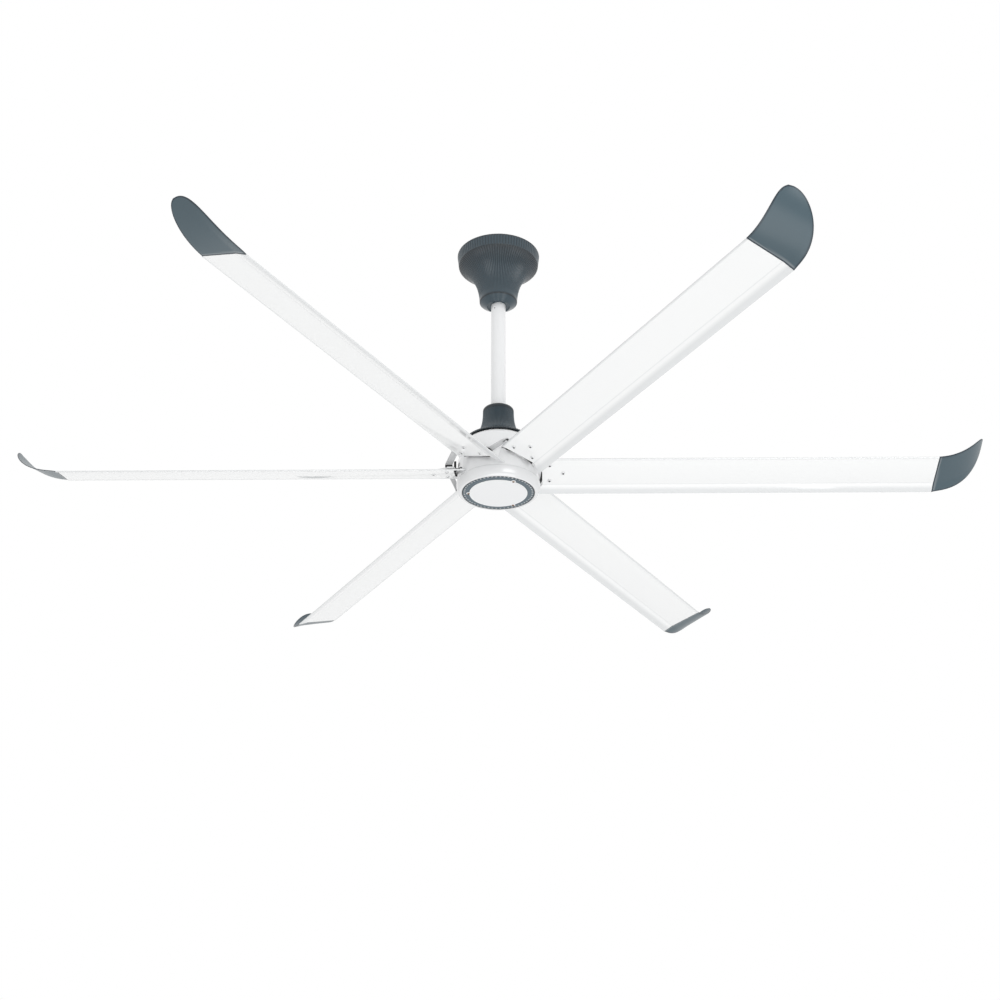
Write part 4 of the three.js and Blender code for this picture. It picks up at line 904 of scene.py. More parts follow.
# How deep the bell's ribs are, by the height above its lower edge.
BELL_RIBS = {0: 0, 0.001: 1, 0.090: 1, 0.096: 0}
# Where the painted shade along edges fades in or out: above the bell's rim and its lower edge, round the
# canopy's neck and below the canopy's top.
BELL_RIM_FADE = (-0.0006, 0.0012)
BELL_TOP_FADE = (0.0872, 0.0892)
NECK_FADE = (-0.002, -0.0012, 0.0014, 0.003)
TOP_FADE = (0.0034, 0.0018)
BELL_RIM_STEP = 0.002
BELL_RIM_ROUND = 0.001
# The canopy's lip at its mouth, as steps inwards and upwards, and the inset of its funnel.
MOUTH_LIP = (0.0006, 0.0002)
MOUTH_INSET = 0.0022
ROD_CLEARANCE = 0.0003
GRIP_EDGE = 0.0006
GRIP_GAP = 0.0005
COLUMNS_PER_RIB = 8
CANOPY_STEPS = 30
BELL_TOP_STEPS = 3
BELL_SHOULDER_STEPS = 6
BELL_STEPS = 32


def between(stations, places):
    """Values that run straight from one station to the next."""
    return np.interp(places, list(stations), list(stations.values()))


def canopy_outline(sizes):
    """The canopy's outside from rim to mouth, and each point's share of the way down to the neck."""
    band = sizes.top - sizes.band_height
    neck = band - sizes.flare_height
    mouth = neck - sizes.mouth_height
    radius, depth = sizes.neck_radius, sizes.flare_height
    spread = sizes.band_radius - radius
    points = [(radius + spread * out, band - depth * down) for out, down in CANOPY_FLARE]
    upright = bezier([(sizes.rim_radius, sizes.top), (sizes.band_radius, band)], BAND_SHARES)
    cone = bezier([(radius, neck), (sizes.mouth_radius, mouth)], CONE_SHARES)
    outline = np.vstack([upright, bezier(points, shares(CANOPY_STEPS))[1:], cone[1:]])
    return outline, (sizes.top - outline[:, 1]) / (sizes.top - neck)


def canopy_profile(sizes):
    """The canopy's closed profile with its funnel and inner web, and its masks of ribs and of painted shade
    at its top edge, its neck and the flare's start.
    """
    outer, drop = canopy_outline(sizes)
    inner = inside(outer, sizes.wall)[::-1]
    mouth_radius, mouth = outer[-1]
    rod = radius_of("downrod") + ROD_CLEARANCE
    funnel = mouth + sizes.funnel
    grip = mouth + sizes.grip
    web = [(mouth_radius - MOUTH_LIP[0], mouth + MOUTH_LIP[1]), (mouth_radius - MOUTH_INSET, funnel)]
    web += [(rod + GRIP_EDGE, funnel), (rod, funnel + GRIP_EDGE), (rod, grip)]
    web += [(radius_at(inner[::-1], grip), grip)]
    above = inner[inner[:, 1] > grip + GRIP_GAP]
    profile = np.vstack([outer, web, above])
    neck = mouth + sizes.mouth_height
    edges = [neck + step for step in NECK_FADE] + [sizes.top - step for step in TOP_FADE]
    dark = np.maximum(np.interp(outer[:, 1], edges, [0, 1, 1, 0, 0, 1]), between(CANOPY_EDGE_SHADE, drop))
    return profile, between(CANOPY_RIBS, drop), dark


def ribbed(name, profile, depth, dark, sizes):
    """A ribbed shell as an object, from its profile and the masks of its outside, which comes first."""
    columns = sizes.ribs * COLUMNS_PER_RIB
    mesh = skin(name, turned(profile, columns), wrap_rows=True)
    rest = np.zeros(len(profile) - len(depth))
    for label, values in (("rib_mask", depth), ("rim", dark)):
        masked(mesh, label, np.repeat(np.concatenate([values, rest]), columns))
    values = {"Rib Count": sizes.ribs, "Rib Depth": sizes.rib_depth, "Finish": finish("Cover slate")}
    return with_nodes(put(name, outwards(mesh)), shared_group("Ribbed shell", ribbed_shell_tree), values)


class FAN_OT_canopy(bpy.types.Operator):
    """Build the ribbed canopy under the ceiling"""

    bl_idname = "ceiling_fan.canopy"
    bl_label = "Canopy"

    def execute(self, context):
        sizes = context.scene.ceiling_fan.canopy
        piece = ribbed("canopy_cover", *canopy_profile(sizes), sizes)
        hand_over(piece, "canopy", "shell_slate", "canopy")
        return {"FINISHED"}


def bell_profile(sizes):
    """The bell's closed profile, and its masks of ribs and of painted shade along its rim and its top edge.
    """
    flare_top = sizes.top - sizes.shoulder
    flare_end = sizes.bottom + sizes.rim_height
    drop = flare_top - flare_end
    neck = sizes.neck_radius
    spread = sizes.rim_radius - neck
    inset = neck - sizes.shoulder
    top = bezier([(sizes.bore, sizes.top), (inset, sizes.top)], shares(BELL_TOP_STEPS))
    shoulder = bezier([(inset, sizes.top), (neck, sizes.top), (neck, flare_top)], shares(BELL_SHOULDER_STEPS))
    flare_foot = (sizes.rim_radius - BELL_RIM_STEP, flare_end + BELL_RIM_ROUND)
    flare = [(neck + spread * out, flare_top - drop * down) for out, down in BELL_FLARE]
    corner = (sizes.rim_radius, flare_end - BELL_RIM_ROUND, BELL_RIM_ROUND)
    rim = rounded([(*flare_foot, 0), corner, (sizes.rim_radius, sizes.bottom, 0)], closed=False)
    flare = bezier([*flare, flare_foot], shares(BELL_STEPS))
    outer = np.vstack([top, shoulder[1:], flare[1:], rim[1:]])
    rise = outer[:, 1] - sizes.bottom
    edges = [sizes.rim_height + step for step in BELL_RIM_FADE]
    dark = np.interp(rise, [*edges, *BELL_TOP_FADE], [1, 0, 0, 1])
    return np.vstack([outer, inside(outer, sizes.wall)[::-1]]), between(BELL_RIBS, rise), dark


class FAN_OT_bell(bpy.types.Operator):
    """Build the ribbed bell over the rod's coupling"""

    bl_idname = "ceiling_fan.bell"
    bl_label = "Bell"

    def execute(self, context):
        sizes = context.scene.ceiling_fan.bell
        piece = ribbed("bell_cover", *bell_profile(sizes), sizes)
        hand_over(piece, "lower_bell", "shell_slate", "lower_bell")
        return {"FINISHED"}


def drill(radius, reach, angle, height):
    """A drill through the rod's axis at an angle from X, as a bmesh."""
    made = bmesh.new()
    turned_out = Matrix.Rotation(angle, 4, "Z") @ Matrix.Translation((sum(reach) / 2, 0, 0))
    place = Matrix.Translation((0, 0, height)) @ turned_out @ Matrix.Rotation(math.pi / 2, 4, "Y")
    size = {"segments": DRILL_SIDES, "radius1": radius, "radius2": radius, "depth": reach[1] - reach[0]}
    bmesh.ops.create_cone(made, cap_ends=True, matrix=place, **size)
    return made


ROD_WALL = 0.002
ROD_SIDES = 96
DRILL_SIDES = 32
ROD_EDGE = 0.0004
BUSH_HOLE = 0.0086
COUPLER_HOLE = 0.0043
COUPLER_HEIGHT = 0.135
# Holes through one wall, as their radius, angle and height.
PILOT_HOLE = (0.0021, math.radians(-122), -0.176)
WIRE_HOLE = (0.004, math.radians(-128), -0.158)


class FAN_OT_rod(bpy.types.Operator):
    """Build the white rod with its drilled holes"""

    bl_idname = "ceiling_fan.rod"
    bl_label = "Rod"

    def execute(self, context):
        radius = radius_of("downrod")
        low, high = bottom_of("downrod"), top_of("downrod")
        corners = [(radius, low), (radius, high), (radius - ROD_WALL, high), (radius - ROD_WALL, low)]
        profile = rounded([(*corner, ROD_EDGE) for corner in corners], steps=2)
        rod = put("rod_pipe", outwards(skin("rod_pipe", turned(profile, ROD_SIDES), wrap_rows=True)))
        through = (-2 * radius, 2 * radius)
        one_side = (radius - 2 * ROD_WALL, 2 * radius)
        pivot = next(joint["pos_m"][2] for joint in frame["joints"] if joint["name"] == "rod_swing")
        drills = [drill(BUSH_HOLE, through, 0, pivot)]
        drills.append(drill(COUPLER_HOLE, through, 0, HUB_HEIGHT + COUPLER_HEIGHT))
        for hole, angle, height in (PILOT_HOLE, WIRE_HOLE):
            drills.append(drill(hole, one_side, angle, height))
        cut(rod, put("drills", mesh_of("drills", *drills)))
        rod.data.materials.clear()
        rod.data.materials.append(finish("Rod paint"))
        hand_over(rod, "hanging_rod", "rod_white", "downrod")
        return {"FINISHED"}


# ---------------------------------------------------------------- housing


def section_height(blade, place, up):
    """The height above the blade plane of a place across and up in the frame of a blade's main panel."""
    return blade.rise - place * math.sin(blade.pitch) + up * math.cos(blade.pitch)


def blade_heights(sizes, blade, x, y, lift):
    """Where the first blade's seam lies at places x, y round the hub; the waist on the hub's other side."""
    sine, cosine = math.sin(blade.pitch), math.cos(blade.pitch)
    slope = math.tan(sizes.seam_bend)
    along = math.cos(blade.sweep) * x + math.sin(blade.sweep) * (y - blade.offset)
    across = math.cos(blade.sweep) * (y - blade.offset) - math.sin(blade.sweep) * x
    on_panel = (across - lift * sine) / cosine
    on_flap = (across - (lift + blade.crease * slope) * sine) / (cosine - slope * sine)
    behind = on_panel > blade.crease
    place = np.where(behind, on_flap, on_panel)
    up = np.where(behind, lift - (on_flap - blade.crease) * slope, lift)
    before = on_panel < sizes.seam_leading
    place = np.where(before, sizes.seam_leading, place)
    up = np.where(before, (across - sizes.seam_leading * cosine) / sine, up)
    return np.where(along > 0, section_height(blade, place, up), sizes.waist), across, along


def seam_heights(settings, angles, lift, notched):
    """The height of a shell's stepped edge round the housing; the notches let the brackets' stems through."""
    sizes, blade, bracket = settings.housing, settings.blade, settings.bracket
    heights = np.full(len(angles), sizes.waist)
    up = blade.thickness / 2 + bracket.gap - sizes.seam_gap
    for i in range(BLADE_COUNT):
        x = sizes.wall_radius * np.cos(angles - i * BLADE_STEP)
        y = sizes.wall_radius * np.sin(angles - i * BLADE_STEP)
        height, across, along = blade_heights(sizes, blade, x, y, lift)
        if notched:
            place = (across - up * math.sin(blade.pitch)) / math.cos(blade.pitch)
            in_notch = abs(place - bracket.stem_across) < bracket.stem_half + sizes.seam_gap
            height = np.where(in_notch & (along > 0), section_height(blade, place, up), height)
        heights = np.maximum(heights, height)
    return heights


HOUSING_COLUMNS = 720
SEAM_ROWS = 6
# How far the dome's and bowl's control points stand out, and where they lie on the way up.
DOME_BULGE = 0.010
DOME_SHARES = (0.86, 0.45)
DOME_FOOT = 0.001
BOWL_DROP = 0.012
BOWL_TUCK = (0.0045, 0.001)
LEDGE_ROUND = 0.002
DOME_LEVEL = 0.032
BOWL_LEVEL = -0.0205
# The inner legs, as their radius and the height of their free end.
DOME_LEG = (0.060, 0.0443)
BOWL_LEG = (0.082, -0.0263)
LEG_WALL = 0.003
LIP_EDGE = (0.0004, 0.001)
EDGE_CUT = 0.3
SHELF_GAP = 0.001
DOME_TOP_STEPS = 3
DOME_STEPS = 22
BOWL_STEPS = 18


def dome_outline(sizes):
    """The dome's outside from the hole's edge down to the upright wall."""
    high, low = (sizes.shoulder + (sizes.top - sizes.shoulder) * share for share in DOME_SHARES)
    flat = bezier([(sizes.hole_radius, sizes.top), (sizes.top_radius, sizes.top)], shares(DOME_TOP_STEPS))
    bulge = [(sizes.top_radius + DOME_BULGE, high), (sizes.wall_radius - DOME_FOOT, low)]
    ends = (sizes.top_radius, sizes.top), (sizes.wall_radius, sizes.shoulder)
    return np.vstack([flat, bezier([ends[0], *bulge, ends[1]], shares(DOME_STEPS))[1:]])


def bowl_outline(sizes):
    """The bowl's outside from the upright wall down to the lip round the vent ring."""
    wall, radius, waist = sizes.wall_radius, sizes.radius, sizes.waist
    ledge = [(wall, waist + 3 * sizes.ledge, 0), (wall, waist + 2 * sizes.ledge, LEDGE_ROUND)]
    ledge += [(radius, waist + sizes.ledge, LEDGE_ROUND), (radius, waist, 0)]
    bowl = [(radius, waist), (radius, waist - BOWL_DROP)]
    bowl += [(radius - BOWL_TUCK[0], sizes.bottom + BOWL_TUCK[1]), (sizes.lip_radius, sizes.bottom)]
    return np.vstack([rounded(ledge, closed=False), bezier(bowl, shares(BOWL_STEPS))[1:]])


def rows_between(start, end):
    """Rows of radii and heights between two rows, each with a value for every column."""
    return [tuple(a * (1 - t) + b * t for a, b in zip(start, end)) for t in shares(SEAM_ROWS)]


def upper_rows(sizes, seam):
    """Rows of the upper shell's closed profile, from the hole's edge round its seam and back."""
    outer = dome_outline(sizes)
    edge, wall = sizes.edge, sizes.wall
    under = sizes.top - wall
    foot = radius_at(outer, seam)
    at_level = radius_at(outer, DOME_LEVEL)
    rows = [(r, z) for r, z in outer if z > DOME_LEVEL]
    rows += rows_between((at_level, DOME_LEVEL), (foot, seam + edge))
    rows += [(foot - EDGE_CUT * edge, seam + EDGE_CUT * edge), (foot - edge, seam)]
    rows += [(foot - wall + edge / 2, seam), (foot - wall, seam + edge / 2)]
    rows += rows_between((foot - wall, seam + edge), (at_level - wall, DOME_LEVEL))
    leg, leg_end = DOME_LEG
    inner = inside(outer, wall)[::-1]
    rows += [(r, z) for r, z in inner if z > DOME_LEVEL and r > leg + 2 * LEG_WALL]
    rows += [(leg + LEG_WALL, under), (leg + LEG_WALL, leg_end), (leg, leg_end), (leg, under)]
    return rows + [(sizes.hole_radius, under)]


def lower_rows(sizes, seam, ring):
    """Rows of the lower shell's closed profile, from its seam down, round the lip and ledge, and back."""
    outer = bowl_outline(sizes)
    inner = inside(outer, sizes.wall)
    edge, wall = sizes.edge, sizes.wall
    upright = sizes.wall_radius + 0 * seam
    level = BOWL_LEVEL + 0 * seam
    rows = [(upright - edge, seam), (upright - EDGE_CUT * edge, seam - EDGE_CUT * edge)]
    rows += rows_between((upright, seam - edge), (upright, level))
    rows += [(r, z) for r, z in outer if z < BOWL_LEVEL]
    lip = sizes.lip_radius - sizes.lip_width
    shelf = ring.bottom + ring.thickness + wall / 10
    leg, leg_end = BOWL_LEG
    rows += [(lip + LIP_EDGE[0], sizes.bottom + LIP_EDGE[0]), (lip, sizes.bottom + LIP_EDGE[1]), (lip, shelf)]
    rows += [(leg, shelf), (leg, leg_end), (leg + LEG_WALL, leg_end), (leg + LEG_WALL, shelf + wall)]
    rows += [(radius_at(inner, shelf + wall), shelf + wall)]
    rows += [(r, z) for r, z in inner[::-1] if shelf + wall + SHELF_GAP < z < BOWL_LEVEL]
    rows += rows_between((upright - wall, level), (upright - wall, seam - edge / 2))
    return rows + [(upright - wall + edge / 2, seam)]


class FAN_OT_housing(bpy.types.Operator):
    """Build the two white shells round the motor"""

    bl_idname = "ceiling_fan.housing"
    bl_label = "Housing"

    def execute(self, context):
        settings = context.scene.ceiling_fan
        sizes = settings.housing
        angles = full_turn(HOUSING_COLUMNS)
        upper_seam = seam_heights(settings, angles, sizes.seam_lift + sizes.slot, False)
        lower_seam = seam_heights(settings, angles, sizes.seam_lift, True)
        shells = {
            "housing_dome": (upper_rows(sizes, upper_seam), "housing_upper", "Rod paint"),
            "housing_bowl": (lower_rows(sizes, lower_seam, settings.ring), "housing_lower", "Housing paint"),
        }
        for name, (rows, node, paint_name) in shells.items():
            mesh = outwards(skin(name, walls_round(rows, angles), wrap_rows=True))
            hand_over(settled(put(name, mesh, finish(paint_name))), "rotor", "housing_white", node)
        return {"FINISHED"}


# ---------------------------------------------------------------- vent ring and cover disc

SCREW_SIDES = 24
HEAD_STEPS = 5
# Shares of a screw's head: its socket's floor and rim, its flat top, and the height of its side.
SOCKET_FLOOR = 0.35
SOCKET_RIM = 0.98
HEAD_FLAT = 0.55
HEAD_SIDE = 0.3
DISC_SIDES = 192
TAB_SIDES = 40
CROWN_STEPS = 12
DISC_EDGE = 0.0008
TAB_EDGE = 0.0005
RING_EDGES = (0.0006, 0.0003)
DISC_SCREW_ANGLES = [math.radians(angle) for angle in (-60, 60, 180)]
# The disc's screws: the head's height, the radii of shank and socket, and the shank's length.
DISC_SCREW = (0.0016, 0.0016, 0.0014, 0.004)
# The blades' screws: the radii of shank and socket.
BLADE_SCREW = (0.0025, 0.0024)


def screw_mesh(name, radius, height, shank, socket, shank_length):
    """A round-headed screw with a hexagon socket; its head points down and its seat is at 0."""
    angles = full_turn(SCREW_SIDES)
    hexagon = math.cos(math.pi / 6) / np.cos((angles + math.pi / 6) % (math.pi / 3) - math.pi / 6)
    well = ((0, SOCKET_FLOOR), (socket, SOCKET_FLOOR), (socket, SOCKET_RIM))
    rows = [(r * hexagon, -height * part) for r, part in well]
    # The socket's rows carry the recess mask, on which the finishes paint the socket's shade.
    recess = [1] * len(rows)
    for angle in shares(HEAD_STEPS) * math.pi / 2:
        reach = radius * (HEAD_FLAT + (1 - HEAD_FLAT) * math.sin(angle))
        rows.append((reach, -height * (HEAD_SIDE + (1 - HEAD_SIDE) * math.cos(angle))))
    rows += [(radius, 0), (shank, 0), (shank, shank_length), (0, shank_length)]
    recess += [0] * (len(rows) - len(recess))
    points = walls_round(rows, angles) - (0, 0, HUB_HEIGHT)
    return outwards(masked(skin(name, points), "recess", np.repeat(recess, SCREW_SIDES)))


def set_screws(name, screw, seats, paint_name, slot, *nodes, **values):
    """Sets a screw at each seat, repeats them round the hub and hands them over."""
    fastener = put(name, screw)
    places = bpy.data.meshes.new(name + "s")
    places.from_pydata(seats, [], [])
    values |= {"Fastener": fastener, "Finish": finish(paint_name)}
    piece = with_nodes(put(name + "s", places), shared_group("Fasteners", fasteners_tree), values)
    bpy.data.objects.remove(fastener)
    hand_over(piece, "rotor", slot, *nodes)


class FAN_OT_vent_ring(bpy.types.Operator):
    """Build the slate ring with its triangular perforations"""

    bl_idname = "ceiling_fan.vent_ring"
    bl_label = "Vent ring"

    def execute(self, context):
        sizes = context.scene.ceiling_fan.ring
        low, high = sizes.bottom, sizes.bottom + sizes.thickness
        outer, inner = RING_EDGES
        corners = [(sizes.radius, low, outer), (sizes.radius, high, inner)]
        corners += [(sizes.inner, high, inner), (sizes.inner, low, inner)]
        profile = rounded(corners, steps=2)
        mesh = outwards(skin("ring_plate", turned(profile, DISC_SIDES), wrap_rows=True))
        values = {
            "Perforations": sizes.holes,
            "Circle Radius": sizes.hole_radius,
            "Perforation Size": sizes.hole_size,
            "Depth": 4 * sizes.thickness,
            "Height": HUB_HEIGHT + low - 2 * sizes.thickness,
            "Finish": finish("Ring slate"),
        }
        tree = shared_group("Perforated ring", perforated_ring_tree)
        piece = with_nodes(put("ring_plate", mesh), tree, values)
        hand_over(piece, "rotor", "ring_slate", "vent_ring")
        return {"FINISHED"}


class FAN_OT_cover_disc(bpy.types.Operator):
    """Build the white cover disc with its three tabs and screws"""

    bl_idname = "ceiling_fan.cover_disc"
    bl_label = "Cover disc"

    def execute(self, context):
        sizes = context.scene.ceiling_fan.ring
        low = bottom_of("bottom_disc")
        high = low + sizes.disc_thickness
        rim_low = low + sizes.disc_crown
        radius = sizes.disc_radius
        flat = radius - DISC_EDGE
        crown = bezier([(0, low), (radius / 2, low), (flat, rim_low)], shares(CROWN_STEPS))
        rim = rounded([(flat, rim_low, 0), (radius, rim_low, DISC_EDGE / 2), (radius, high, 0)], closed=False)
        meshes = [skin("cover_disc", turned(np.vstack([crown, rim[1:], [(0, high)]]), DISC_SIDES))]
        corners = [(0, rim_low, 0), (sizes.tab_radius, rim_low, TAB_EDGE), (sizes.tab_radius, high, 0)]
        tab = np.vstack([rounded(corners, closed=False), [(0, high)]])
        for angle in DISC_SCREW_ANGLES:
            place = Matrix.Rotation(angle, 4, "Z") @ Matrix.Translation((sizes.tab_circle, 0, 0))
            meshes.append(moved(skin("tab", turned(tab, TAB_SIDES)), place))
        mesh = outwards(mesh_of("cover_disc", *(solid_of(mesh) for mesh in meshes)))
        disc = put("cover_disc", mesh, finish("Disc white"))
        hand_over(settled(disc), "rotor", "disc_white", "bottom_disc")
        screw = screw_mesh("disc_screw", sizes.screw_radius, *DISC_SCREW)
        spot = Matrix.Rotation(DISC_SCREW_ANGLES[0], 4, "Z") @ Vector((sizes.tab_circle, 0, 0))
        seat = [(spot.x, spot.y, HUB_HEIGHT + rim_low)]
        nodes = ["disc_screw_1", "disc_screw_2", "disc_screw_3"]
        set_screws("disc_screw", screw, seat, "Bronze", "bronze_screw", *nodes, Count=len(DISC_SCREW_ANGLES))
        return {"FINISHED"}


# ---------------------------------------------------------------- blades and tips


def on_line(blade):
    """Places what is drawn in a blade's main plane in the hub's frame, for the first blade."""
    line = Matrix.Translation((0, 0, HUB_HEIGHT)) @ Matrix.Translation((0, blade.offset, 0))
    line = line @ Matrix.Rotation(blade.sweep, 4, "Z") @ Matrix.Translation((0, 0, blade.rise))
    return line @ Matrix.Rotation(-blade.pitch, 4, "X")


CREASE_ROUND = 0.012
# Places measured from the crease: the pressed groove ahead of it, and where the painted shade behind it fades
# in.
GROOVE = [-0.0046, -0.004, -0.0018, -0.001]
GROOVE_DEPTH = 0.0002
# Painted shade in the pressed groove, as a share of that behind the crease.
GROOVE_PAINTED_SHADE = 0.5
FLAP_FADE = [0.0045, 0.0075, 0.011, 0.015]
BEND_RUN = 0.001
LIP_ENDS = (2.6, 4)
LIP_UPPER = (180, 150, 120, 90)
LIP_LOWER = (270, 242, 215, 189)
TAIL_ARC = (30, 60, 90, 120, 150)
BLADE_ROWS = 24


def midline(blade):
    """The middle of a blade's section, as (across, up) with a rounded crease, and the run to each point."""
    tail_across = blade.crease + blade.flap * math.cos(blade.flap_bend)
    tail = (tail_across, -blade.flap * math.sin(blade.flap_bend), 0)
    line = np.array(rounded([(blade.leading, 0, 0), (blade.crease, 0, CREASE_ROUND), tail], closed=False))
    return line, np.concatenate([[0], np.cumsum(np.linalg.norm(np.diff(line, axis=0), axis=1))])


def on_midline(line, run, at):
    """Points of a midline at distances along its run."""
    return np.stack([np.interp(at, run, line[:, 0]), np.interp(at, run, line[:, 1])], axis=1)


def arc_points(centre, radius, degrees):
    """Points of an arc at angles in degrees."""
    return [(centre[0] + radius * math.cos(a), centre[1] + radius * math.sin(a)) for a in np.radians(degrees)]


def blade_section(blade):
    """A blade's section as a loop of (across, up), upper side first, and how much painted shade it has there:
    on the lip, in the pressed groove and behind the crease.
    """
    half, lip = blade.thickness / 2, blade.lip
    line, run = midline(blade)
    crease = blade.crease - blade.leading
    front = np.array(LIP_ENDS) * lip
    round_crease = crease + np.array(GROOVE + FLAP_FADE)
    stations = np.unique(np.concatenate([front, run[1:-1], round_crease, [run[-1] - half]]))
    middle = on_midline(line, run, stations)
    tilt = np.interp(stations, crease + np.array([-BEND_RUN, BEND_RUN]), [0, blade.flap_bend])
    upright = np.stack([np.sin(tilt), np.cos(tilt)], axis=1)
    behind = stations - crease
    sunk = np.interp(behind, GROOVE, [0, GROOVE_DEPTH, GROOVE_DEPTH, 0])
    fades = [*GROOVE, FLAP_FADE[0], FLAP_FADE[-1]]
    painted_shade = np.interp(behind, fades, [0, GROOVE_PAINTED_SHADE, GROOVE_PAINTED_SHADE, 0, 0, 1])
    upper = middle + upright * half
    lower = middle - upright * (half - sunk)[:, None]
    centre = (blade.leading + lip, half - lip)
    backwards = np.array([math.cos(tilt[-1]), -math.sin(tilt[-1])])
    arc = np.radians(TAIL_ARC)
    tail = [middle[-1] + half * math.sin(a) * backwards + upright[-1] * half * math.cos(a) for a in arc]
    tail.append(middle[-1] - upright[-1] * half)
    lips = [arc_points(centre, lip, degrees) for degrees in (LIP_UPPER, LIP_LOWER)]
    section = np.vstack([lips[0], upper, tail, lower[-2::-1], lips[1]])
    # The lip and the rounded trailing edge take the full painted shade.
    ends = np.ones(len(LIP_UPPER))
    return section, np.concatenate([ends, painted_shade, np.ones(len(tail)), painted_shade[-2::-1], ends])


def arc_run(blade, section, radius):
    """How far along the blade's line points of (across, up) meet a radius round the shaft."""
    across = section[:, 0] * math.cos(blade.pitch) + section[:, 1] * math.sin(blade.pitch)
    lean = blade.offset * math.sin(blade.sweep)
    rest = across**2 + 2 * blade.offset * across * math.cos(blade.sweep) + blade.offset**2 - radius**2
    return -lean + np.sqrt(lean**2 - rest)


def root_run(blade, section):
    """Where each point of a blade's section lies along its line at the root."""
    trim = np.clip((section[:, 0] - blade.crease) / blade.flap, 0, 1) * blade.root_trim
    return arc_run(blade, section, blade.root - trim)


class FAN_OT_blades(bpy.types.Operator):
    """Build the six creased blades"""

    bl_idname = "ceiling_fan.blades"
    bl_label = "Blades"

    def execute(self, context):
        blade = context.scene.ceiling_fan.blade
        section, shade = blade_section(blade)
        root = root_run(blade, section)
        parts = shares(BLADE_ROWS)
        rows = [np.column_stack([root * (1 - part) + blade.end * part, section]) for part in parts]
        mesh = masked(skin("blades", np.array(rows), caps=True), "shade", np.tile(shade, len(rows)))
        round_hub("blades", outwards(moved(mesh, on_line(blade))), "Blade paint", "blade_white", *BLADE_NODES)
        return {"FINISHED"}


# Control points of the tip's edges, measured from the front corner of the blade's end, and those of the
# trailing edge from its back corner.
TIP_END = (0.1179, 0.018, 0.058)
TIP_LEADING = [(0.0746, 0.0002, 0.0043), (0.1060, -0.0080, 0.0545)]
TIP_TRAILING = [(0.0244, -0.0014, 0.0086), (0.1143, -0.003, -0.0066), (0.1268, -0.0442, 0.1078)]
TIP_ROWS = 44
TIP_ROOT_RUNS = [0, 0.004, 0.008, 0.012, 0.018, 0.024]
TIP_RIM = 0.0022
TIP_SHARES = [0, 0.001, 0.004, 0.009, 0.016, 0.022, 0.05, 0.1]
TIP_MIDDLE = np.linspace(0.15, 0.85, 22)
TIP_TAPER = 0.06
BORDER_STEPS = 400
SMALLEST = 1e-12
LEAST_WIDTH = 1e-4


def tip_edges(front, back, runs):
    """The tip's leading and trailing edges at shares of their runs."""
    end = front + np.array(TIP_END)
    leading = bezier([front, *(front + np.array(p) for p in TIP_LEADING), end], runs)
    trailing = bezier([back, *(back + np.array(p) for p in TIP_TRAILING), end], runs)
    return leading, trailing


def tip_middle(blade, tip, parts, runs):
    """Points of the tip's middle surface, in rows from the blade's end, its widths and its border."""
    line, run = midline(blade)
    turn_back = np.array(Matrix.Rotation(-blade.pitch, 3, "X"))
    points = on_midline(line, run, parts * run[-1])
    root = np.column_stack([np.full(len(parts), blade.end + tip.gap), points]) @ turn_back.T
    root[:, 2] += blade.rise
    front, back = root[0], root[-1]
    chord = back - front
    at = (root - front) @ chord / (chord @ chord)
    crown = root - (front + at[:, None] * chord)
    leading, trailing = tip_edges(front, back, runs)
    middle = leading[:, None] * (1 - at[None, :, None]) + trailing[:, None] * at[None, :, None]
    middle = middle + crown[None] * ((1 - runs) ** 2)[:, None, None]
    border = np.vstack(tip_edges(front, back, shares(BORDER_STEPS)))
    return middle, np.linalg.norm(trailing - leading, axis=-1), border


def tip_points(blade, tip):
    """Points of the tip's skin in rows from root to end, in the frame of the blade's line, and its masks."""
    near_edge = np.array(TIP_SHARES)
    parts = np.concatenate([near_edge, TIP_MIDDLE, 1 - near_edge[::-1]])
    runs = np.concatenate([TIP_ROOT_RUNS, np.sin(shares(TIP_ROWS)[1:] * math.pi / 2)])
    middle, width, border = tip_middle(blade, tip, parts, runs)
    normal = np.cross(np.gradient(middle, axis=0), np.gradient(middle, axis=1))
    size = np.linalg.norm(normal, axis=-1)[..., None]
    normal = np.where(size > SMALLEST, normal / np.maximum(size, SMALLEST), 0)
    normal[-1] = normal[-2]
    near = np.minimum(parts, 1 - parts)[None, :] * np.maximum(width, LEAST_WIDTH)[:, None]
    edge = tip.edge / 2
    full = (tip.thickness * (1 - runs) + tip.edge * runs)[:, None] / 2
    arc = np.sqrt(np.maximum(edge**2 - np.maximum(edge - near, 0) ** 2, 0))
    half = np.minimum(arc + np.maximum(near - edge, 0) * TIP_TAPER, full)[..., None]
    upper, lower = middle + normal * half, middle - normal * half
    away = np.linalg.norm(middle - middle[:1], axis=-1)
    near = np.linalg.norm(middle[:, :, None] - border[None, None], axis=-1).min(axis=2)
    rim = np.clip((1.5 * TIP_RIM - np.minimum(near, away)) / (0.5 * TIP_RIM), 0, 1)
    # A painted highlight along a line just outside the root.
    bead = np.clip(1 - abs(away - 2 * TIP_RIM) / TIP_RIM, 0, 1)
    masks = {"rim": np.hstack([rim, rim[:, ::-1]]), "bead": np.hstack([bead, bead[:, ::-1]])}
    return np.concatenate([upper, lower[:, ::-1]], axis=1), masks


TONGUE_ROUND = 0.004
TONGUE_EDGE = 0.0004


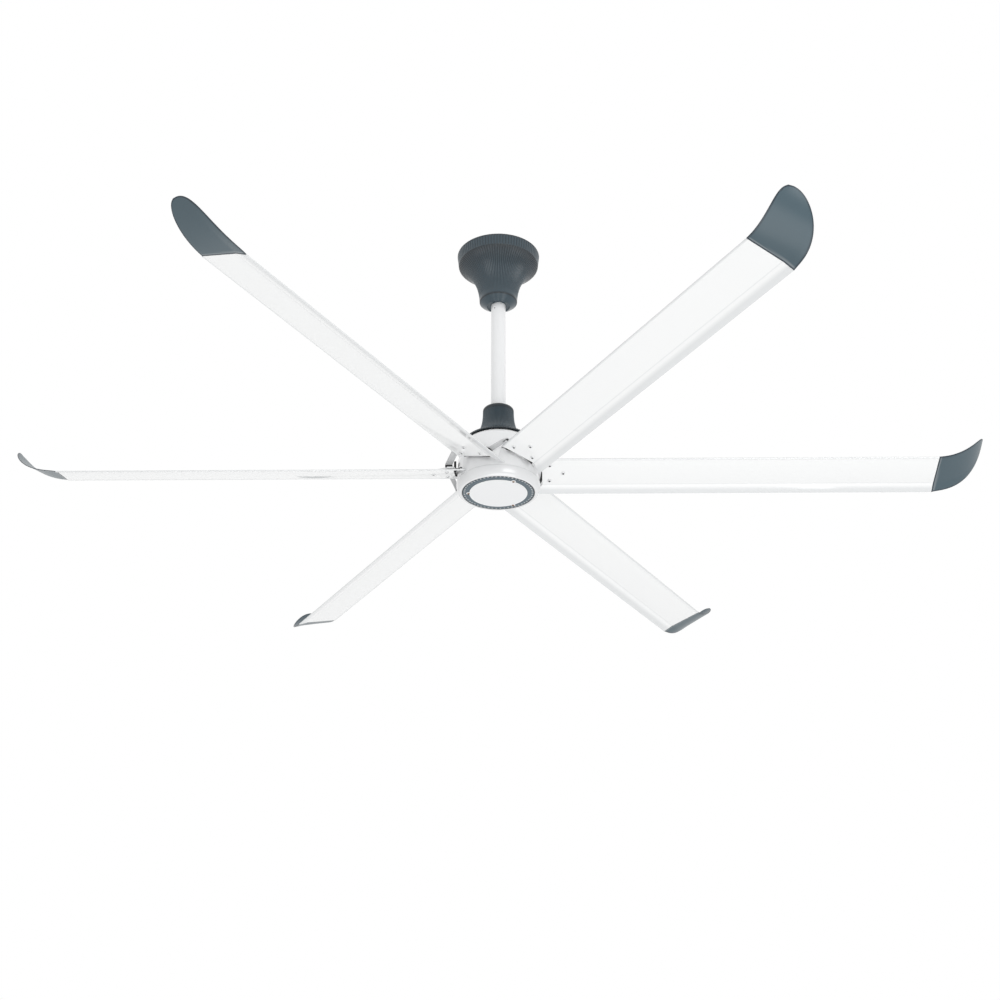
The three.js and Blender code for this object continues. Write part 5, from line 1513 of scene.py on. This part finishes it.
def tip_tongue(blade, tip):
    """The tongue that holds a tip on its blade, as bmesh solids in the blade's main plane."""
    low = blade.thickness / 2 + tip.gap
    high = low + tip.tongue_thickness
    first, last = blade.leading + tip.tongue_margin, blade.crease - tip.tongue_margin
    reach, start = blade.end + tip.tongue_thickness, blade.end + tip.gap
    inner = blade.end - tip.tongue
    corners = [(inner, first, TONGUE_ROUND), (reach, first, 0), (reach, last, 0), (inner, last, TONGUE_ROUND)]
    web = [(start, first), (reach, first), (reach, last), (start, last)]
    return [plate(rounded(corners), low, high, TONGUE_EDGE), plate(web, 0, high, TONGUE_EDGE)]


class FAN_OT_tips(bpy.types.Operator):
    """Build the six upswept slate tips"""

    bl_idname = "ceiling_fan.tips"
    bl_label = "Upswept tips"

    def execute(self, context):
        settings = context.scene.ceiling_fan
        blade, tip = settings.blade, settings.tip
        points, masks = tip_points(blade, tip)
        shell = skin("tips", points, caps=True)
        for label, values in masks.items():
            masked(shell, label, values)
        line = on_line(blade) @ Matrix.Rotation(blade.pitch, 4, "X") @ Matrix.Translation((0, 0, -blade.rise))
        tongue = moved(mesh_of("tongue", *tip_tongue(blade, tip)), on_line(blade))
        mesh = outwards(mesh_of("tips", solid_of(moved(shell, line), tongue)))
        round_hub("tips", mesh, "Tip slate", "tip_slate", *each("winglet"))
        return {"FINISHED"}


# ---------------------------------------------------------------- brackets, screws, bolts and links

BLADE_SCREWS = [(0.128, -0.0402), (0.128, 0.0139), (0.162, -0.0127)]
BRACKET_EDGE = 0.0005
STEM_ROUND = 0.001
SHOULDER_ROUND = 0.002
END_ROUND = 0.003
NOSE_STEPS = 10


def bracket_outline(bracket):
    """A bracket's outline along and across the blade: stem, wide part and nose."""
    first, last = (bracket.stem_across + side * bracket.stem_half for side in (-1, 1))
    end, neck = bracket.start + bracket.width, bracket.start - bracket.shoulder
    radii = (STEM_ROUND, SHOULDER_ROUND, SHOULDER_ROUND, END_ROUND)
    sides = []
    for stem, wide in ((first, bracket.leading), (last, bracket.trailing)):
        places = [(bracket.stem_start, stem), (neck, stem), (bracket.start, wide), (end, wide)]
        sides.append([(*place, radius) for place, radius in zip(places, radii)])
    turns = [bracket.nose_angle * (2 * part - 1) for part in shares(NOSE_STEPS)]
    nose = arc_points(BLADE_SCREWS[2], bracket.nose_radius, np.degrees(turns))
    return rounded(sides[0]) + nose + rounded(sides[1][::-1])


class FAN_OT_brackets(bpy.types.Operator):
    """Build the six blade brackets and the screws through the blades into them"""

    bl_idname = "ceiling_fan.brackets"
    bl_label = "Blade brackets"

    def execute(self, context):
        settings = context.scene.ceiling_fan
        blade, bracket = settings.blade, settings.bracket
        line = on_line(blade)
        low = blade.thickness / 2 + bracket.gap
        solid = plate(bracket_outline(bracket), low, low + bracket.thickness, BRACKET_EDGE)
        mesh = moved(mesh_of("brackets", solid), line)
        round_hub("brackets", mesh, "Rod paint", "bracket_white", *each("blade_bracket"))
        head = (bracket.screw_radius, bracket.screw_height, *BLADE_SCREW)
        screw = screw_mesh("blade_screw", *head, blade.thickness + bracket.gap)
        seats = [line @ Vector((x, across, -blade.thickness / 2)) for x, across in BLADE_SCREWS]
        values = {"Turn": tuple(line.to_euler()), "Count": BLADE_COUNT}
        set_screws("blade_screw", screw, seats, "Screw white", "plated_steel", **values)
        return {"FINISHED"}


# Where a link bar folds on its way, how much of the fold it shows, and the rounding of its edges.
LINK_FOLD = 0.84
LINK_FOLD_SHARE = 0.8
LINK_EDGE = 0.0005
PAD_EDGE = 0.0003


def slab(place, along, across, up):
    """The eight corners of a slab drawn in a blade's main plane."""
    return [place @ Vector((x, y, z)) for x in along for y in across for z in up]


def link_places(blade, bracket):
    """The places of this blade and the one ahead, how far the link bar runs out, and its seat's height."""
    here = on_line(blade)
    along = (bracket.link_at, bracket.link_at + bracket.link_width)
    top = blade.thickness / 2 + 2 * bracket.gap + bracket.thickness
    return here, Matrix.Rotation(-BLADE_STEP, 4, "Z") @ here, along, top


def link_bar(blade, bracket):
    """The link bar from the bracket ahead to this one, folded near its end, as a bmesh."""
    here, ahead, (low, high), top = link_places(blade, bracket)
    half = bracket.link_thickness / 2
    high_seat, low_seat = (top + rubber + half for rubber in (bracket.foot_height, bracket.pad_height))
    corners = [(low, -half), (high, -half), (high, half), (low, half)]

    def row(place, across, seat):
        return np.array([place @ Vector((x, across, seat + up)) for x, up in corners])

    start = row(ahead, bracket.link_end - bracket.foot_length, high_seat)
    first = row(ahead, bracket.link_end, high_seat)
    last = row(here, bracket.leading, low_seat)
    flat = first + (last.mean(axis=0) - first.mean(axis=0)) * LINK_FOLD
    straight = first * (1 - LINK_FOLD) + last * LINK_FOLD
    fold = LINK_FOLD_SHARE * flat + (1 - LINK_FOLD_SHARE) * straight
    end = row(here, bracket.leading + bracket.foot_length, low_seat)
    bar = skin("link_bar", np.array([start, first, fold, last, end]), caps=True)
    return bevel_edges(solid_of(bar), LINK_EDGE)


def link_feet(blade, bracket):
    """The rubber foot and the rubber pad of a link bar, as bmesh solids."""
    here, ahead, along, top = link_places(blade, bracket)
    pad_run = (bracket.leading, bracket.leading + bracket.foot_length)
    foot_run = (bracket.link_end - bracket.foot_length, bracket.link_end + bracket.foot_reach)
    pad = slab(here, along, pad_run, (top, top + bracket.pad_height))
    foot = slab(ahead, along, foot_run, (top, top + bracket.foot_height))
    return [hull(pad, PAD_EDGE), hull(foot, LINK_EDGE)]


class FAN_OT_links(bpy.types.Operator):
    """Build the six link bars between the brackets"""

    bl_idname = "ceiling_fan.links"
    bl_label = "Link bars"

    def execute(self, context):
        settings = context.scene.ceiling_fan
        sizes = (settings.blade, settings.bracket)
        nodes = each("link_bar")
        round_hub("link_bars", mesh_of("link_bars", link_bar(*sizes)), "Link grey", "link_grey", *nodes)
        round_hub("link_feet", mesh_of("link_feet", *link_feet(*sizes)), "Rubber", "bush_rubber", *nodes)
        return {"FINISHED"}


# The seal's three lengths, as their radii and their places across and up in a blade's main plane. The first
# two fill the gap between the housing and the blade's root, where they paint the shadow in that gap; the
# third stands above the bracket.
SEAL_PARTS = [
    ((0.1064, 0.1112), (-0.045, 0.024), (0.0013, 0.0060)),
    ((0.1070, 0.1124), (-0.050, 0.027), (-0.0003, 0.0012)),
    ((0.1064, 0.1112), (-0.018, 0.0055), (0.0061, 0.028)),
]
SEAL_STATIONS = 13
SEAL_EDGE = 0.0004
STEM_CUT_RUN = (0.09, 0.12)
STEM_CUT_EDGE = 0.0001


def seal_part(blade, radii, across, up):
    """A length of the seal, as a bmesh plate drawn in a blade's main plane."""
    run = np.linspace(*across, SEAL_STATIONS)
    section = np.column_stack([run, np.full(len(run), sum(up) / 2)])
    inner, outer = (np.column_stack([arc_run(blade, section, radius), run]) for radius in radii)
    return plate(np.vstack([inner, outer[::-1]]), *up, SEAL_EDGE)


class FAN_OT_seals(bpy.types.Operator):
    """Build the dark rubber seals between the housing and the blades' roots; the strips in the gap under each
    root paint the shadow there
    """

    bl_idname = "ceiling_fan.seals"
    bl_label = "Seals"

    def execute(self, context):
        settings = context.scene.ceiling_fan
        blade, bracket = settings.blade, settings.bracket
        low, *others = (put("seals", mesh_of("seals", seal_part(blade, *part))) for part in SEAL_PARTS)
        seat, margin = blade.thickness / 2 + bracket.gap, bracket.gap / 2
        across = [bracket.stem_across + side * (bracket.stem_half + margin) for side in (-1, 1)]
        up = (seat - margin, seat + bracket.thickness + margin)
        stem = hull(slab(Matrix(), STEM_CUT_RUN, across, up), STEM_CUT_EDGE)
        cut(low, put("stem", mesh_of("stem", stem)))
        parts = solid_of(low.data, *(other.data for other in others))
        mesh = moved(mesh_of("stem_seals", parts), on_line(blade))
        for spare in (low, *others):
            bpy.data.objects.remove(spare)
        round_hub("stem_seals", mesh, "Rubber", "bush_rubber")
        return {"FINISHED"}


# ---------------------------------------------------------------- what keeps its CAD shape

FRAME_FINISHES = {
    "Zinc": [
        "hanger_bracket", "hanger_bolt", "hanger_nut", "split_pin", "canopy_screw", "motor_shaft",
        "coupler_bolt", "coupler_nut", "shaft_nut", "bearing_upper", "bearing_lower", "bracket_bolt",
    ],
    "Rubber": ["hanger_bush"],
    "Iron": ["stator_core", "magnet_ring"],
    "Copper": ["winding_upper", "winding_lower"],
    "Aluminium": ["rotor_yoke", "rotor_end_plate"],
}


class FAN_OT_frame_finishes(bpy.types.Operator):
    """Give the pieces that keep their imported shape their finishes"""

    bl_idname = "ceiling_fan.frame_finishes"
    bl_label = "Frame finishes"

    def execute(self, context):
        for paint_name, kinds in FRAME_FINISHES.items():
            for name, node in frame["nodes"].items():
                if name.rstrip("0123456789").rstrip("_") in kinds:
                    node.data.materials.clear()
                    node.data.materials.append(finish(paint_name))
        return {"FINISHED"}


# ---------------------------------------------------------------- stage

WHITE = (1, 1, 1, 1)
FLOOR_GREY = (0.80, 0.80, 0.80)
FLOOR_ROUGHNESS = 0.7
SENSOR_WIDTH = 36
# The lamps, by the setting of their power: name, place and width.
LAMPS = {
    "low_lamp": ("Low lamp", (0.5, -1.4, -4.8), 4.0),
    "side_lamp": ("Side lamp", (2.2, -4.2, -0.9), 2.6),
}


def world_light(settings):
    """Plain light, slightly stronger from below, behind a white background."""
    world = bpy.data.worlds.new("Studio")
    world.use_nodes = True
    tree = world.node_tree
    tree.nodes.clear()
    rays = add(tree, "ShaderNodeLightPath").outputs
    seen = maths(tree, "MAXIMUM", rays["Is Camera Ray"], rays["Is Glossy Ray"])
    seen = maths(tree, "MAXIMUM", seen, rays["Is Transmission Ray"])
    direction = add(tree, "ShaderNodeSeparateXYZ", {0: add(tree, "ShaderNodeTexCoord").outputs["Generated"]})
    height = {"Value": direction.outputs["Z"], "From Min": -1.0, "From Max": 1.0}
    ramp = add(tree, "ShaderNodeValToRGB", {"Fac": output(tree, "ShaderNodeMapRange", height)})
    stops = ramp.color_ramp.elements
    stops.new(0.5)
    for stop, strength in zip(stops, (settings.below, settings.level, settings.above)):
        stop.color = (strength, strength, strength, 1)
    inputs = {"Factor": seen, 6: ramp.outputs["Color"], 7: WHITE}
    mixed = add(tree, "ShaderNodeMix", inputs, data_type="RGBA").outputs[2]
    light = output(tree, "ShaderNodeBackground", {"Color": mixed, "Strength": 1.0})
    add(tree, "ShaderNodeOutputWorld", {"Surface": light})
    return world


def soft_lamp(name, place, size, power):
    """A square area lamp that faces the hub."""
    data = bpy.data.lights.new(name, "AREA")
    data.shape = "SQUARE"
    data.size = size
    data.energy = power
    lamp = put(name, data)
    lamp.location = place
    lamp.visible_camera = False
    lamp.rotation_euler = (Vector((0, 0, HUB_HEIGHT)) - Vector(place)).to_track_quat("-Z", "Y").to_euler()


def add_floor(settings):
    """Lays a plain pale floor, which shows as white in reflections."""
    half = settings.floor_width / 2
    corners = [(-half, -half), (half, -half), (half, half), (-half, half)]
    mesh = bpy.data.meshes.new("floor")
    mesh.from_pydata([(x, y, settings.floor_height) for x, y in corners], [], [(0, 1, 2, 3)])
    material = surface("Floor", FLOOR_GREY, FLOOR_ROUGHNESS, tone=0.0)
    tree = material.node_tree
    plain = node_of(tree, "BSDF_PRINCIPLED").outputs[0]
    white = output(tree, "ShaderNodeEmission", {"Color": WHITE, "Strength": 1.0})
    rays = add(tree, "ShaderNodeLightPath").outputs
    mirrored = maths(tree, "MAXIMUM", rays["Is Glossy Ray"], rays["Is Transmission Ray"])
    both = output(tree, "ShaderNodeMixShader", {0: mirrored, 1: plain, 2: white})
    tree.links.new(both, node_of(tree, "OUTPUT_MATERIAL").inputs["Surface"])
    put("floor", mesh, material)


class FAN_OT_stage(bpy.types.Operator):
    """Set up the camera, the light and the plain floor"""

    bl_idname = "ceiling_fan.stage"
    bl_label = "Stage"

    def execute(self, context):
        scene = context.scene
        settings = scene.ceiling_fan.stage
        scene.world = world_light(settings)
        scene.view_settings.view_transform = "Standard"
        camera_data = bpy.data.cameras.new("Camera")
        camera_data.lens = settings.lens
        camera_data.sensor_width = SENSOR_WIDTH
        camera_data.shift_x = settings.shift
        camera = put("Camera", camera_data)
        camera.location = settings.camera_place
        camera.rotation_euler = (settings.camera_tilt, 0, 0)
        scene.camera = camera
        add_floor(settings)
        for setting, (name, place, size) in LAMPS.items():
            soft_lamp(name, place, size, getattr(settings, setting))
        return {"FINISHED"}


class FAN_PT_panel(bpy.types.Panel):
    """Lists the builders of the ceiling fan and its settings"""

    bl_idname = "FAN_PT_panel"
    bl_label = "Ceiling fan"
    bl_space_type = "VIEW_3D"
    bl_region_type = "UI"
    bl_category = "Ceiling fan"

    def draw(self, context):
        for operator in OPERATORS:
            self.layout.operator(operator.bl_idname)
        settings = context.scene.ceiling_fan
        for name in FanSettings.__annotations__:
            box = self.layout.box()
            box.label(text=name.capitalize())
            group = getattr(settings, name)
            for size in type(group).__annotations__:
                box.prop(group, size, text=size.replace("_", " ").capitalize())


# ---------------------------------------------------------------- registration

GROUPS = [
    CanopySizes, BellSizes, HousingSizes, RingSizes, BladeSizes, TipSizes, BracketSizes, Finishes,
    StageSettings, FanSettings,
]
OPERATORS = [
    FAN_OT_stage, FAN_OT_frame_finishes, FAN_OT_canopy, FAN_OT_rod, FAN_OT_bell, FAN_OT_housing,
    FAN_OT_vent_ring, FAN_OT_cover_disc, FAN_OT_blades, FAN_OT_tips, FAN_OT_brackets, FAN_OT_links,
    FAN_OT_seals,
]


def register():
    """Registers the classes and hangs the settings on the scene."""
    for kind in [*GROUPS, *OPERATORS, FAN_PT_panel]:
        bpy.utils.register_class(kind)
    bpy.types.Scene.ceiling_fan = PointerProperty(type=FanSettings)


def unregister():
    """Takes the settings and the classes away again."""
    del bpy.types.Scene.ceiling_fan
    for kind in reversed([*GROUPS, *OPERATORS, FAN_PT_panel]):
        bpy.utils.unregister_class(kind)


def main():
    """Builds everything in order."""
    register()
    for operator in OPERATORS:
        group, name = operator.bl_idname.split(".")
        getattr(getattr(bpy.ops, group), name)()


if __name__ == "__main__":
    main()
